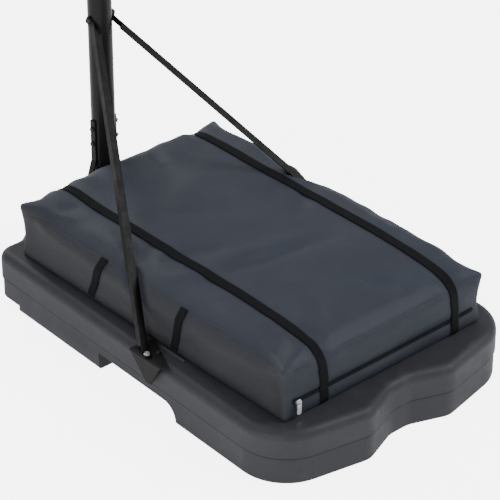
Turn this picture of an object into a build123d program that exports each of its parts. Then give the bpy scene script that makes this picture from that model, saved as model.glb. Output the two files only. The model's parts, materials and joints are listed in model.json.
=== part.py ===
from build123d import *
from math import atan2, cos, degrees, radians, sin
import os

# A portable basketball hoop: a moulded water tank with a strapped ballast bag on it, a telescoping
# steel pole held by two struts, and a backboard with a breakaway rim and a net.
#
# Millimetres. +Z is up. The origin is on the floor under the pole's axis. -Y points at the court, so
# the tank and its bag lie on the +Y side. +X is on the right of a player who faces the board.

# ---------------------------------------------------------------- driving dimensions
CLEAR = 0.3  # gap between neighbours on different bodies
RUN = 0.05  # radial running clearance
NEAR = (1, -1)  # the +X side and its mirror image
LOW = (Align.CENTER, Align.CENTER, Align.MIN)  # cylinders and boxes that stand on their own origin

# Tank
TANK_TOP = 150.0
TANK_PART = 75.0  # height of the moulding's parting line
TANK_LEDGE = 3.0  # the lower half is this much smaller all round
TANK_WALL = 4.0
TANK_SHOULDER = 24.0
TANK_HEEL = 10.0
TANK_END = -42.0  # the middle of the pole end, which reaches round the pole and the wheels
TANK_LOBE_HALF = 402.0
# Corners of the +X half of the plan, from the pole end to the waist between the lobes, each with its radius.
TANK_PLAN = [
    ((235.0, TANK_END), 40.0), ((282.0, -8.0), 30.0), ((366.0, -8.0), 45.0),
    ((TANK_LOBE_HALF, 1108.0), 138.0), ((134.0, 1163.0), 58.0), ((30.0, 1123.0), 70.0),
]
TOE_Y, TOE_Z = 88.0, 20.0  # the pole end is raised off the floor so that the hoop can be tipped
ARCH_Y, ARCH_Z, ARCH_DEPTH = (430.0, 738.0), 50.0, 150.0
NOTCH_HALF, NOTCH_Y = 50.0, 42.0
RIB_X, RIB_Y, RIB_SIZE = 334.5, (628.0, 716.0), (9.0, 5.0)

# Fill neck and its cap
FILL_AT = (-215.0, 14.0)
NECK_R, NECK_BORE, NECK_TOP = 27.0, 22.0, 162.0
CAP_R, CAP_TOP = 32.0, 167.0

# Wheels
AXLE_R, AXLE_HALF, AXLE_Z = 6.0, 262.0, 60.0
WHEEL_R, WHEEL_W, WHEEL_X = 55.0, 36.0, 220.0
WHEEL_HUB_R, WHEEL_HUB_W = 13.0, 44.0
WELL_HALF, WELL_Y, WELL_Z = 25.0, 64.0, 122.0
NUT_X, NUT_R = (251.0, 255.0), 9.0  # the push nuts on the axle's ends

# Poles
POLE_R, POLE_BORE = 31.75, 29.95
LOWER_TOP = 1198.0
BELL_R, BELL_Z = 34.0, (1100.0, 1200.0)
MIDDLE_TOP = 1950.0
INNER_R, INNER_BORE = 28.6, 26.8
INNER_Z = (1560.0, 3300.0)
KNOB_Z = 1860.0

# Pole foot straps
FOOT_STRAP, FOOT_STRAP_HALF = 5.0, 9.0
FOOT_STRAP_TOP, FOOT_STRAP_KNEE = 408.0, 292.0
FOOT_STRAP_X = (80.0, 134.0)  # where the foot begins and ends
FOOT_BOLTS_Z = (340.0, 384.0)
FOOT_SCREW_X = (101.0, 123.0)

# Struts
STRUT_TOP_Z = 700.0
STRUT_FOOT = (390.0, 638.0)
STRUT_LEG, STRUT_T = 19.0, 3.0
TAB_T, TAB_R, TAB_BEND = 4.0, 11.5, 14.0  # the bend is this far from the bolt's centre
LEG_SETBACK = (30.0, 17.0)  # where one leg of the angle is cut away at the top and at the foot
PLATE_T = 4.0
PLATE_OUT = 402.0
PLATE_FLANGE = [(346.0, 585.0), (402.0, 585.0), (402.0, 702.0), (383.0, 714.0), (331.0, 596.0)]
PLATE_TIP = (655.0, 86.0)
PLATE_SCREW = (362.0, 648.0)
BAG_DENT = 18.0  # half the width of the groove that each strut presses into the bag's edge

# Ballast bag
BAG_HALF, BAG_Y, BAG_Z = 326.0, (63.0, 1063.0), (150.0, 300.0)
BAG_SKIN = 2.5
BAG_CORNER, BAG_EDGE = 38.0, 26.0
STRAP_W, STRAP_T = 25.0, 2.0
STRAP_X = {"strap_right": 203.0, "strap_left": -235.0}
SIDE_STRAP_Y = {"rear": 365.0, "front": 678.0}
ZIP_Z, ZIP_HALF, ZIP_W, ZIP_T = 196.0, 300.0, 20.0, 1.5
ZIP_AT = (ZIP_HALF - 12.0, BAG_Y[1] + STRAP_T + ZIP_T + 0.5)  # the slider, outside the straps

# Board
BOARD_W, BOARD_H, BOARD_T = 1118.0, 737.0, 4.0
BOARD_BOTTOM, BOARD_FACE = 2898.0, -240.0
FRAME_T, FRAME_D, FRAME_WALL = 25.0, 25.0, 1.5
BOARD_CORNER = 30.0
RAIL_X, RAIL_W, RAIL_D = 150.0, 30.0, 20.0
ARM_Z = (2990.0, 3225.0)
ARM_T, ARM_H = 4.0, 50.0

# Rim
RIM_Z = 3040.0
RIM_ROD, RIM_INSIDE = 8.0, 228.5
RIM_GAP = 151.0  # from the board's face to the inside of the ring
PIVOT_Y, PIVOT_Z, PIVOT_R = -262.0, 3040.0, 4.0
SPRING_X, SPRING_Z, SPRING_R = 30.0, 2985.0, 11.0
NET_BOTTOM, NET_R = 2610.0, (228.0, 178.0)

RIM_R = RIM_INSIDE + RIM_ROD
RIM_Y = BOARD_FACE - RIM_GAP - RIM_INSIDE
FRAME_BACK = BOARD_FACE + BOARD_T + FRAME_D
RAIL_BACK = FRAME_BACK + RAIL_D

PARTS = {}


# ---------------------------------------------------------------- helpers
def keep(name, *solids):
    PARTS[name] = solids[0] if len(solids) == 1 else Compound(children=list(solids))


def polygon(*points):
    return make_face(Polyline(*points, close=True).edges())


def block(x, y, z):
    """A box from its low and high limits along each axis."""
    size = [high - low for low, high in (x, y, z)]
    middle = [(high + low) / 2 for low, high in (x, y, z)]
    return Pos(*middle) * Box(*size)


def rod(radius, start, end):
    """A cylinder from one point to another."""
    a, b = Vector(*start), Vector(*end)
    return extrude(Plane(origin=a, z_dir=b - a) * Circle(radius), (b - a).length)


def tube(outer, inner, z0, z1):
    return Pos(0, 0, z0) * extrude(Circle(outer) - Circle(inner), z1 - z0)


def bolt(at, axis, shank_r, length, head_r, head_h):
    """A hex bolt whose head sits on the point `at`, with its shank running along `axis`."""
    plane = Plane(origin=at, z_dir=axis)
    head = extrude(plane * RegularPolygon(head_r, 6), -head_h)
    return head + extrude(plane * Circle(shank_r), length)


def nut(at, axis, bore_r, outer_r, height):
    plane = Plane(origin=at, z_dir=axis)
    return extrude(plane * (RegularPolygon(outer_r, 6) - Circle(bore_r)), height)


def mirrored(solid):
    return mirror(solid, about=Plane.YZ)


def bent_strip(plane, points, radius, thickness, half_width):
    """A flat strip of constant thickness, bent along a path."""
    path = FilletPolyline(*points, radius=radius)
    return extrude(plane * trace(path, thickness), half_width, both=True)


# ---------------------------------------------------------------- tank
def tank_outline(inset):
    right = [corner for corner, radius in TANK_PLAN]
    left = [(-x, y) for x, y in reversed(right)]
    face = polygon(*right, *left)
    for (x, y), radius in TANK_PLAN:
        corners = [v for v in face.vertices() if abs(abs(v.X) - x) < 1 and abs(v.Y - y) < 1]
        face = fillet(corners, radius)
    return offset(face, -inset) if inset else face


def tank_body(inset):
    """The moulding's outside at inset 0, and its hollow at an inset of one wall."""
    seam = TANK_PART + inset
    lower = extrude(Pos(0, 0, inset) * tank_outline(TANK_LEDGE + inset), seam - inset)
    lower = fillet(lower.faces().sort_by(Axis.Z)[0].edges(), TANK_HEEL - inset)
    upper = extrude(Pos(0, 0, seam) * tank_outline(inset), TANK_TOP - inset - seam)
    upper = fillet(upper.faces().sort_by(Axis.Z)[-1].edges(), TANK_SHOULDER - inset)
    return lower + upper


def arch(side, grow):
    """The hand hold under one side of the tank."""
    low, high = ARCH_Y[0] - grow, ARCH_Y[1] + grow
    rise = ARCH_Z + grow
    shape = Plane.YZ * polygon((low, -10), (low, rise), (high, rise), (high, -10))
    cut = extrude(shape, side * 2 * TANK_LOBE_HALF)
    far = cut.edges().filter_by(Axis.X).sort_by(Axis.Y)[-2:].sort_by(Axis.Z)[-1]
    cut = fillet(far, rise * 0.9)
    return Pos(side * (TANK_LOBE_HALF - ARCH_DEPTH - grow), 0, 0) * cut


def tank_voids(grow):
    """The notch round the pole, the raised toe, the axle's slot, the wheel wells and the hand holds."""
    low = TANK_END - 20
    slot, reach = AXLE_R + RUN + grow, AXLE_HALF + 2 + grow
    nut_room = 12 + grow
    voids = [
        block((-NOTCH_HALF - grow, NOTCH_HALF + grow), (low, NOTCH_Y + grow), (-10, TANK_TOP + 20)),
        block((-500, 500), (low, TOE_Y + grow), (-10, TOE_Z + grow)),
        block((-reach, reach), (-slot, slot), (-10, AXLE_Z)),
        rod(slot, (-reach, 0, AXLE_Z), (reach, 0, AXLE_Z)),
    ]
    for side in NEAR:
        well = sorted((side * (WHEEL_X - WELL_HALF - grow), side * (WHEEL_X + WELL_HALF + grow)))
        voids.append(block(well, (low, WELL_Y + grow), (-10, WELL_Z + grow)))
        pocket = sorted((side * (NUT_X[0] - 1 - grow), side * reach))
        voids.append(block(pocket, (-nut_room, nut_room), (-10, AXLE_Z + nut_room)))
        voids.append(arch(side, grow))
    return voids


def tank_shell():
    tank = tank_body(0) - tank_voids(0)
    hollow = tank_body(TANK_WALL) - tank_voids(TANK_WALL)
    neck = Pos(*FILL_AT, TANK_TOP - 1) * Cylinder(NECK_R, NECK_TOP - TANK_TOP + 1, align=LOW)
    wide, high = RIB_SIZE
    rib = block((RIB_X - wide / 2, RIB_X + wide / 2), RIB_Y, (TANK_TOP - 1, TANK_TOP + high))
    rib = fillet(rib.faces().sort_by(Axis.Z)[-1].edges(), 3)
    tank = tank + rib + mirrored(rib) + neck - hollow
    tank -= Pos(*FILL_AT, TANK_TOP - 10) * Cylinder(NECK_BORE, 40, align=LOW)
    for x, y in foot_screws():
        tank -= Pos(x, y, TANK_TOP - 10) * Cylinder(4, 20, align=LOW)
    x, y = PLATE_SCREW
    for side in NEAR:
        tank -= rod(4, (side * x, y, TANK_TOP - 16), (side * x, y, TANK_TOP + 20))
    return tank


def foot_screws():
    return [(s * x, 0) for s in NEAR for x in FOOT_SCREW_X]


def fill_cap():
    skirt = Cylinder(CAP_R, CAP_TOP - TANK_TOP - 1, align=LOW)
    skirt = fillet(skirt.edges().sort_by(Axis.Z)[-1], 2.5)
    cap = skirt - Cylinder(NECK_R + CLEAR, NECK_TOP + 1.2 - TANK_TOP - 1, align=LOW)
    grip = Pos(0, 0, CAP_TOP - TANK_TOP - 1) * Box(8, 44, 8, align=LOW)
    cap += fillet(grip.edges().filter_by(Axis.Z), 3.5)
    for turn in range(0, 360, 15):
        cap -= Rot(0, 0, turn) * Pos(CAP_R + 0.6, 0, 0) * Cylinder(1.6, CAP_TOP - TANK_TOP - 4, align=LOW)
    return Pos(*FILL_AT, TANK_TOP + 1) * cap


def cap_seal():
    return Pos(*FILL_AT, 0) * tube(NECK_R - 0.5, NECK_BORE + 0.5, NECK_TOP + 0.2, NECK_TOP + 1.2)


# ---------------------------------------------------------------- wheels
def wheel(side):
    hub, tread = WHEEL_HUB_W / 2, WHEEL_W / 2
    bore, rim, web = AXLE_R + RUN, 42, 6
    half = [(bore, hub), (WHEEL_HUB_R, hub), (WHEEL_HUB_R, web), (rim - 2, web), (rim, tread)]
    half += [(WHEEL_R - 3, tread), (WHEEL_R, tread - 4)]
    shape = revolve(Plane.XZ * polygon(*half, *[(r, -z) for r, z in reversed(half)]), Axis.Z)
    for turn in range(0, 360, 60):
        shape -= Rot(0, 0, turn) * Pos(27, 0, -10) * Cylinder(7, 20, align=LOW)
    return Pos(side * WHEEL_X, 0, AXLE_Z) * Rot(0, 90, 0) * shape


def push_nuts():
    ring = [rod(NUT_R, (s * NUT_X[0], 0, AXLE_Z), (s * NUT_X[1], 0, AXLE_Z)) for s in NEAR]
    return [r - rod(AXLE_R, (-AXLE_HALF, 0, AXLE_Z), (AXLE_HALF, 0, AXLE_Z)) for r in ring]


# ---------------------------------------------------------------- pole
def lower_pole():
    pole = tube(POLE_R, POLE_BORE, 4, LOWER_TOP)
    pole -= rod(AXLE_R + RUN, (-50, 0, AXLE_Z), (50, 0, AXLE_Z))
    for z in FOOT_BOLTS_Z:
        pole -= rod(4, (-50, 0, z), (50, 0, z))
    pole -= rod(5, (-50, 0, STRUT_TOP_Z), (50, 0, STRUT_TOP_Z))
    return pole - joint_screw_holes()


def pole_foot():
    return Cylinder(POLE_R, 4, align=LOW) + Pos(0, 0, 4) * Cylinder(POLE_BORE, 16, align=LOW)


def middle_pole():
    z0, z1 = BELL_Z
    profile = [
        (POLE_R, z0), (BELL_R, z0), (BELL_R, z1), (POLE_R, z1 + 12), (POLE_R, MIDDLE_TOP),
        (POLE_BORE, MIDDLE_TOP), (POLE_BORE, z1), (POLE_R, z1),
    ]
    pole = revolve(Plane.XZ * polygon(*profile), Axis.Z)
    pole += clamp_boss()
    pole -= rod(5 + RUN, (0, 20, KNOB_Z), (0, 60, KNOB_Z))
    return pole - joint_screw_holes()


def joint_screw_holes():
    return [rod(3, (0, s * 25, 1150), (0, s * 40, 1150)) for s in NEAR]


def joint_screws():
    return [bolt((0, s * BELL_R, 1150), (0, -s, 0), 3, BELL_R - POLE_BORE - 0.1, 6, 4) for s in NEAR]


def pole_collar():
    bore, foot, top = INNER_R + RUN, MIDDLE_TOP - 50, MIDDLE_TOP + 26
    profile = [
        (bore, foot), (POLE_BORE, foot), (POLE_BORE, MIDDLE_TOP), (36, MIDDLE_TOP),
        (37, top - 8), (32, top), (bore, top),
    ]
    return revolve(Plane.XZ * polygon(*profile), Axis.Z)


def clamp_boss():
    """The threaded boss welded to the middle pole, which the clamp knob's stud turns in."""
    boss = rod(12, (0, POLE_BORE, KNOB_Z), (0, 46, KNOB_Z))
    return boss - rod(POLE_BORE, (0, 0, KNOB_Z - 20), (0, 0, KNOB_Z + 20))


def clamp_stud():
    return rod(5, (0, INNER_R + 0.2, KNOB_Z), (0, 66, KNOB_Z))


def clamp_knob():
    knob = rod(24, (0, 54, KNOB_Z), (0, 76, KNOB_Z))
    for turn in range(0, 360, 60):
        x, z = 29 * cos(radians(turn)), 29 * sin(radians(turn))
        knob -= rod(9, (x, 50, KNOB_Z + z), (x, 80, KNOB_Z + z))
    knob += rod(10, (0, 47, KNOB_Z), (0, 55, KNOB_Z))
    return knob - clamp_stud()


def inner_pole():
    pole = tube(INNER_R, INNER_BORE, *INNER_Z)
    for z in ARM_Z:
        pole -= rod(5, (-40, 0, z), (40, 0, z))
    return pole


def guide_bush():
    z = INNER_Z[0]
    return tube(POLE_BORE - RUN, INNER_R, z, z + 60)


def pole_cap():
    z = INNER_Z[1]
    dome = fillet((Pos(0, 0, z) * Cylinder(INNER_R + 2, 8, align=LOW)).edges().sort_by(Axis.Z)[-1], 5)
    return dome + tube(INNER_BORE, INNER_BORE - 3, z - 25, z)


# ---------------------------------------------------------------- pole foot straps and struts
def foot_strap():
    x = POLE_R + FOOT_STRAP / 2
    z = TANK_TOP + FOOT_STRAP / 2
    points = [(x, FOOT_STRAP_TOP), (x, FOOT_STRAP_KNEE), (FOOT_STRAP_X[0], z), (FOOT_STRAP_X[1], z)]
    strap = bent_strip(Plane.XZ, points, 14, FOOT_STRAP, FOOT_STRAP_HALF)
    for height in FOOT_BOLTS_Z:
        strap -= rod(4, (0, 0, height), (60, 0, height))
    for x in FOOT_SCREW_X:
        strap -= rod(4, (x, 0, 140), (x, 0, 170))
    return strap


def cross_bolt(z, radius, reach, head_r, head_h):
    """A bolt through the pole along X, with its head on the +X side."""
    return bolt((reach, 0, z), (-1, 0, 0), radius, 2 * reach + head_h + 5, head_r, head_h)


def cross_nut(z, radius, reach, outer_r, height):
    return nut((-reach, 0, z), (-1, 0, 0), radius, outer_r, height)


def strut_line():
    """Where the right strut's outer leg starts, its direction, its length and its cross axis."""
    head = Vector(POLE_R + TAB_T / 2, 0, STRUT_TOP_Z)
    tail = Vector(*STRUT_FOOT, TANK_TOP + PLATE_T + TAB_T / 2)
    drop = tail - head
    start = head + Vector(0, drop.Y, drop.Z).normalized() * TAB_BEND
    end = tail - Vector(drop.X, drop.Y, 0).normalized() * TAB_BEND
    away = (end - start).normalized()
    out = (Vector(1, 0, 0) - away * away.X).normalized()
    end += (out + away.cross(out)) * (STRUT_LEG / 2)
    away = (end - start).normalized()
    out = (Vector(1, 0, 0) - away * away.X).normalized()
    return start, away, (end - start).length, out


def strut():
    """An angle-iron strut with a flattened, bent tab at each end, on the +X side."""
    start, away, length, out = strut_line()
    leg, thick = STRUT_LEG, STRUT_T
    plane = Plane(origin=start, x_dir=out, z_dir=away)
    outer = extrude(plane * Rectangle(thick, leg), length - LEG_SETBACK[1])
    shift = (thick - leg) / 2
    inner = plane.offset(LEG_SETBACK[0]) * Pos(shift, shift) * Rectangle(leg, thick)
    inner = extrude(inner, length - LEG_SETBACK[0] + 3)
    head = Pos(POLE_R + TAB_T / 2, 0, STRUT_TOP_Z)
    slope = degrees(atan2(away.Z, away.Y))
    top_tab = Rot(slope, 0, 0) * block((-TAB_T / 2, TAB_T / 2), (0, TAB_BEND + 2), (-leg / 2, leg / 2))
    top_tab += rod(TAB_R, (-TAB_T / 2, 0, 0), (TAB_T / 2, 0, 0))
    tail = Pos(*STRUT_FOOT, TANK_TOP + PLATE_T + TAB_T / 2)
    heading = degrees(atan2(-away.Y, -away.X))
    foot_tab = Rot(0, 0, heading) * block((0, TAB_BEND + 5), (-TAB_R, TAB_R), (-TAB_T / 2, TAB_T / 2))
    foot_tab += rod(TAB_R, (0, 0, -TAB_T / 2), (0, 0, TAB_T / 2))
    whole = outer + inner + head * top_tab + tail * foot_tab
    whole -= rod(5, (0, 0, STRUT_TOP_Z), (60, 0, STRUT_TOP_Z))
    whole -= block((300, 450), (500, 700), (100, TANK_TOP + PLATE_T))
    return whole - rod(5, (*STRUT_FOOT, 140), (*STRUT_FOOT, 180))


def strut_plate():
    """The folded plate over the tank's shoulder: a top flange and a flap down the side."""
    top, out = TANK_TOP, PLATE_OUT
    plate = Pos(0, 0, top) * extrude(polygon(*PLATE_FLANGE), PLATE_T)
    (near, far), (tip, low) = (PLATE_FLANGE[1][1], PLATE_FLANGE[2][1]), PLATE_TIP
    flap = [(near, top + PLATE_T), (far, top + PLATE_T), (tip + 8, low), (tip - 8, low)]
    plate += Pos(out - PLATE_T, 0, 0) * extrude(Plane.YZ * polygon(*flap), PLATE_T)
    fold = plate.edges().filter_by(Axis.Y).sort_by(lambda e: e.center().X + e.center().Z)[-1]
    plate = fillet(fold, PLATE_T * 0.9)
    plate -= rod(5, (*STRUT_FOOT, 140), (*STRUT_FOOT, 180))
    return plate - rod(4, (*PLATE_SCREW, 140), (*PLATE_SCREW, 180))


def strut_foot_bolt():
    return bolt((*STRUT_FOOT, TANK_TOP + PLATE_T + TAB_T), (0, 0, -1), 5, 16, 8, 5)


def strut_foot_nut():
    return nut((*STRUT_FOOT, TANK_TOP), (0, 0, -1), 5, 8, 7)


def plate_screw():
    return bolt((*PLATE_SCREW, TANK_TOP + PLATE_T), (0, 0, -1), 4, 16, 7, 4)


# ---------------------------------------------------------------- ballast bag
def pillow(x, y, z, corner, edge):
    body = block(x, y, z)
    body = fillet(body.edges().filter_by(Axis.Z), corner)
    body = fillet(body.faces().sort_by(Axis.Z)[-1].edges(), edge)
    return fillet(body.faces().sort_by(Axis.Z)[0].edges(), 6)


def bag_cover():
    half, (y0, y1), (z0, z1), t = BAG_HALF, BAG_Y, BAG_Z, BAG_SKIN
    outside = pillow((-half, half), (y0, y1), (z0, z1), BAG_CORNER, BAG_EDGE)
    inside = pillow((-half + t, half - t), (y0 + t, y1 - t), (z0 + t, z1 - t), BAG_CORNER - t, BAG_EDGE - t)
    return outside - dents(BAG_DENT) - (inside - dents(BAG_DENT + t))


def dents(half):
    """The square grooves that the two struts press into the bag's top edges."""
    start, away, length, out = strut_line()
    plane = Plane(origin=start - out * (STRUT_LEG / 2), x_dir=out, z_dir=away)
    groove = extrude(plane * Rectangle(2 * half, 2 * half), length)
    return [groove, mirrored(groove)]


def sand_pouch(column, row):
    gap, margin = 6.0, 8.0
    wide = BAG_HALF - BAG_SKIN - 3 * margin
    y0, y1 = BAG_Y[0] + BAG_SKIN + margin, BAG_Y[1] - BAG_SKIN - margin
    middle = (y0 + y1) / 2
    x = (gap / 2, wide) if column > 0 else (-wide, -gap / 2)
    y = (y0, middle - gap / 2) if row == 0 else (middle + gap / 2, y1)
    return pillow(x, y, (BAG_Z[0] + BAG_SKIN, BAG_Z[0] + 82), 30, 20)


def cover_strap(x):
    """Webbing over the top of the bag and down both its ends."""
    (y0, y1), (z0, z1) = BAG_Y, BAG_Z
    t = STRAP_T
    outer = polygon((y0 - t, z0), (y0 - t, z1 + t), (y1 + t, z1 + t), (y1 + t, z0))
    inner = polygon((y0, z0), (y0, z1), (y1, z1), (y1, z0))
    tops = [v for v in outer.vertices() if v.Y > z1]
    outer = fillet(tops, BAG_EDGE + t)
    tops = [v for v in inner.vertices() if v.Y > z1 - 1]
    inner = fillet(tops, BAG_EDGE)
    return Pos(x, 0, 0) * extrude(Plane.YZ * (outer - inner), STRAP_W / 2, both=True)


def side_strap(side, y):
    x = sorted((side * BAG_HALF, side * (BAG_HALF + STRAP_T)))
    return block(x, (y - STRAP_W / 2, y + STRAP_W / 2), (BAG_Z[0] + 8, BAG_Z[1] - BAG_EDGE))


def zip_tape():
    """Three lengths of tape, between and beside the two long straps."""
    y, half = BAG_Y[1], STRAP_W / 2
    left, right = STRAP_X["strap_left"], STRAP_X["strap_right"]
    lengths = [(-ZIP_HALF, left - half), (left + half, right - half), (right + half, ZIP_HALF)]
    z = (ZIP_Z - ZIP_W / 2, ZIP_Z + ZIP_W / 2)
    return [block(x, (y, y + ZIP_T), z) for x in lengths]


def zip_slider():
    """The slider's body, with a bail that the pull's pin hangs in."""
    x, y = ZIP_AT
    body = block((x - 7, x + 7), (y, y + 3), (ZIP_Z - 5, ZIP_Z + 5))
    body = fillet(body.edges().filter_by(Axis.Y), 2)
    bail = block((x - 4, x + 4), (y + 3, y + 7), (ZIP_Z - 1.5, ZIP_Z + 4))
    return body + bail - rod(1.6, (x - 20, y + 5, ZIP_Z + 1.2), (x + 20, y + 5, ZIP_Z + 1.2))


def zip_pull():
    x, y = ZIP_AT
    pin = rod(1.5, (x - 6.5, y + 5, ZIP_Z + 1.2), (x + 6.5, y + 5, ZIP_Z + 1.2))
    thick = (y + 3.8, y + 6.2)
    sides = [block(sorted((x + s * 4.5, x + s * 6.5)), thick, (ZIP_Z - 8, ZIP_Z + 2.4)) for s in NEAR]
    tag = block((x - 6.5, x + 6.5), thick, (ZIP_Z - 34, ZIP_Z - 7))
    tag = fillet(tag.edges().filter_by(Axis.Y).sort_by(Axis.Z)[:2], 4)
    return pin + sides + tag


# ---------------------------------------------------------------- backboard
def board_shape(width, height, corner):
    return RectangleRounded(width, height, corner)


def board_plane(y):
    """A plane across the board whose sketches extrude towards +Y."""
    return Plane(origin=(0, y, BOARD_BOTTOM + BOARD_H / 2), x_dir=(-1, 0, 0), z_dir=(0, 1, 0))


def board_panel():
    panel = extrude(board_plane(BOARD_FACE) * board_shape(BOARD_W, BOARD_H, BOARD_CORNER), BOARD_T)
    for x, z in rim_bolt_places():
        panel -= rod(4, (x, BOARD_FACE - 5, z), (x, BOARD_FACE + 10, z))
    for x, z in panel_screw_places():
        panel -= rod(2.5, (x, BOARD_FACE - 5, z), (x, BOARD_FACE + 10, z))
    return panel


def rim_bolt_places():
    return [(s * 55, z) for s in NEAR for z in (2965, 3066)]


def panel_screw_places():
    x = BOARD_W / 2 - FRAME_T / 2
    low, high = BOARD_BOTTOM + FRAME_T / 2, BOARD_BOTTOM + BOARD_H - FRAME_T / 2
    middle = (low + high) / 2
    places = [(s * x, z) for s in NEAR for z in (low + 40, middle, high - 40)]
    return places + [(s * x * 0.55, z) for s in NEAR for z in (low, high)]


def board_frame():
    """The welded steel frame: a square tube ring, two upright rails and the plate behind the rim."""
    front, wall = BOARD_FACE + BOARD_T, FRAME_WALL
    inside_w, inside_h = BOARD_W - 2 * FRAME_T, BOARD_H - 2 * FRAME_T
    ring = board_shape(BOARD_W, BOARD_H, BOARD_CORNER)
    ring -= board_shape(inside_w, inside_h, BOARD_CORNER - 18)
    hollow = board_shape(BOARD_W - 2 * wall, BOARD_H - 2 * wall, BOARD_CORNER - wall)
    hollow -= board_shape(inside_w + 2 * wall, inside_h + 2 * wall, BOARD_CORNER - 16)
    frame = extrude(board_plane(front) * ring, FRAME_D)
    frame -= extrude(board_plane(front + wall) * hollow, FRAME_D - 2 * wall)
    low, high = BOARD_BOTTOM + FRAME_T - wall, BOARD_BOTTOM + BOARD_H - FRAME_T + wall
    for side in NEAR:
        x0, x1 = sorted((side * (RAIL_X - RAIL_W / 2), side * (RAIL_X + RAIL_W / 2)))
        frame += block((x0, x1), (front, RAIL_BACK), (low, high))
        frame -= block((x0 + wall, x1 - wall), (front + wall, RAIL_BACK - wall), (low + wall, high - wall))
    frame += block((-RAIL_X, RAIL_X), (front, front + 6), (2940, 3090))
    for x, z in rim_bolt_places():
        frame -= rod(4, (x, front - 1, z), (x, front + 20, z))
    for x, z in panel_screw_places():
        frame -= rod(2.5, (x, front - 1, z), (x, front + 12, z))
    for x, z in arm_bolt_places():
        frame -= rod(4, (x, RAIL_BACK - 15, z), (x, RAIL_BACK + 1, z))
    return frame


def arm_bolt_places():
    return [(s * RAIL_X, z + d) for s in NEAR for z in ARM_Z for d in (-14, 14)]


def board_arm(side, z):
    """A steel strap from the pole's side out to a rail."""
    x = INNER_R + ARM_T / 2
    end = RAIL_BACK + ARM_T / 2
    points = [(side * x, 34), (side * x, -24), (side * (RAIL_X - 30), end), (side * (RAIL_X + 15), end)]
    arm = Pos(0, 0, z) * bent_strip(Plane.XY, points, 9, ARM_T, ARM_H / 2)
    arm -= rod(5, (-60, 0, z), (60, 0, z))
    for d in (-14, 14):
        arm -= rod(4, (side * RAIL_X, RAIL_BACK - 5, z + d), (side * RAIL_X, RAIL_BACK + 20, z + d))
    return arm


def arm_bolts():
    back = RAIL_BACK + ARM_T
    return [bolt((x, back, z), (0, -1, 0), 4, ARM_T + 12, 7, 5) for x, z in arm_bolt_places()]


# ---------------------------------------------------------------- rim
def rim_mount():
    face = BOARD_FACE
    mount = block((-75, 75), (face - 5, face), (2945, 3085))
    mount = fillet(mount.edges().filter_by(Axis.Y), 10)
    for side in NEAR:
        x = sorted((side * 60, side * 65))
        mount += block(x, (PIVOT_Y - 12, face - 4), (PIVOT_Z - 20, PIVOT_Z + 14))
    mount -= rod(PIVOT_R, (-80, PIVOT_Y, PIVOT_Z), (80, PIVOT_Y, PIVOT_Z))
    for x, z in rim_bolt_places():
        mount -= rod(4, (x, face - 10, z), (x, face + 5, z))
    return mount


def rim_pin():
    head = rod(7, (65, PIVOT_Y, PIVOT_Z), (69, PIVOT_Y, PIVOT_Z))
    return head + rod(PIVOT_R, (-71, PIVOT_Y, PIVOT_Z), (66, PIVOT_Y, PIVOT_Z))


def rim_bolts():
    return [bolt((x, BOARD_FACE - 5, z), (0, 1, 0), 4, 22, 7, 5) for x, z in rim_bolt_places()]


def rim_nuts():
    back = BOARD_FACE + BOARD_T + 6
    return [nut((x, back, z), (0, 1, 0), 4, 7, 6) for x, z in rim_bolt_places()]


def rim_ring():
    """The ring, its braces, its net loops and the hinged front plate, all welded."""
    front = PIVOT_Y - 34
    ring = Pos(0, RIM_Y, RIM_Z) * Torus(RIM_R, RIM_ROD)
    plate = block((-57, 57), (front, front + 5), (2968, RIM_Z + 14))
    plate += block((-57, 57), (front - 60, front + 1), (RIM_Z - 4, RIM_Z + 4))
    for side in NEAR:
        x = sorted((side * 52, side * 57))
        plate += block(x, (front + 4, PIVOT_Y + 12), (PIVOT_Z - 14, PIVOT_Z + 12))
        reach = radians(42)
        far = (side * RIM_R * sin(reach), RIM_Y + RIM_R * cos(reach), RIM_Z - 4)
        plate += rod(6, (side * 46, front - 1, 2978), far)
    loops = []
    for turn in range(15, 375, 30):
        x, y = RIM_R * cos(radians(turn)), RIM_Y + RIM_R * sin(radians(turn))
        loop = Pos(x, y, RIM_Z - RIM_ROD - 5) * Rot(0, 0, turn) * Rot(90, 0, 90) * Torus(8, 2.2)
        loops.append(loop)
    weld = ring + plate + loops
    return weld - rod(PIVOT_R + RUN, (-80, PIVOT_Y, PIVOT_Z), (80, PIVOT_Y, PIVOT_Z))


def rim_springs():
    y0, y1 = PIVOT_Y - 34 + 5, BOARD_FACE - 5
    return [rod(SPRING_R, (s * SPRING_X, y0, SPRING_Z), (s * SPRING_X, y1, SPRING_Z))
            - rod(SPRING_R - 3, (s * SPRING_X, y0, SPRING_Z), (s * SPRING_X, y1, SPRING_Z)) for s in NEAR]


def net():
    top, low, thick = RIM_Z - RIM_ROD - 18, NET_BOTTOM, 4.0
    profile = [(NET_R[0], top), (NET_R[1], low), (NET_R[1] - thick, low), (NET_R[0] - thick, top)]
    cone = revolve(Plane.XZ * polygon(*profile), Axis.Z)
    return Pos(0, RIM_Y, 0) * cone


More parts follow.
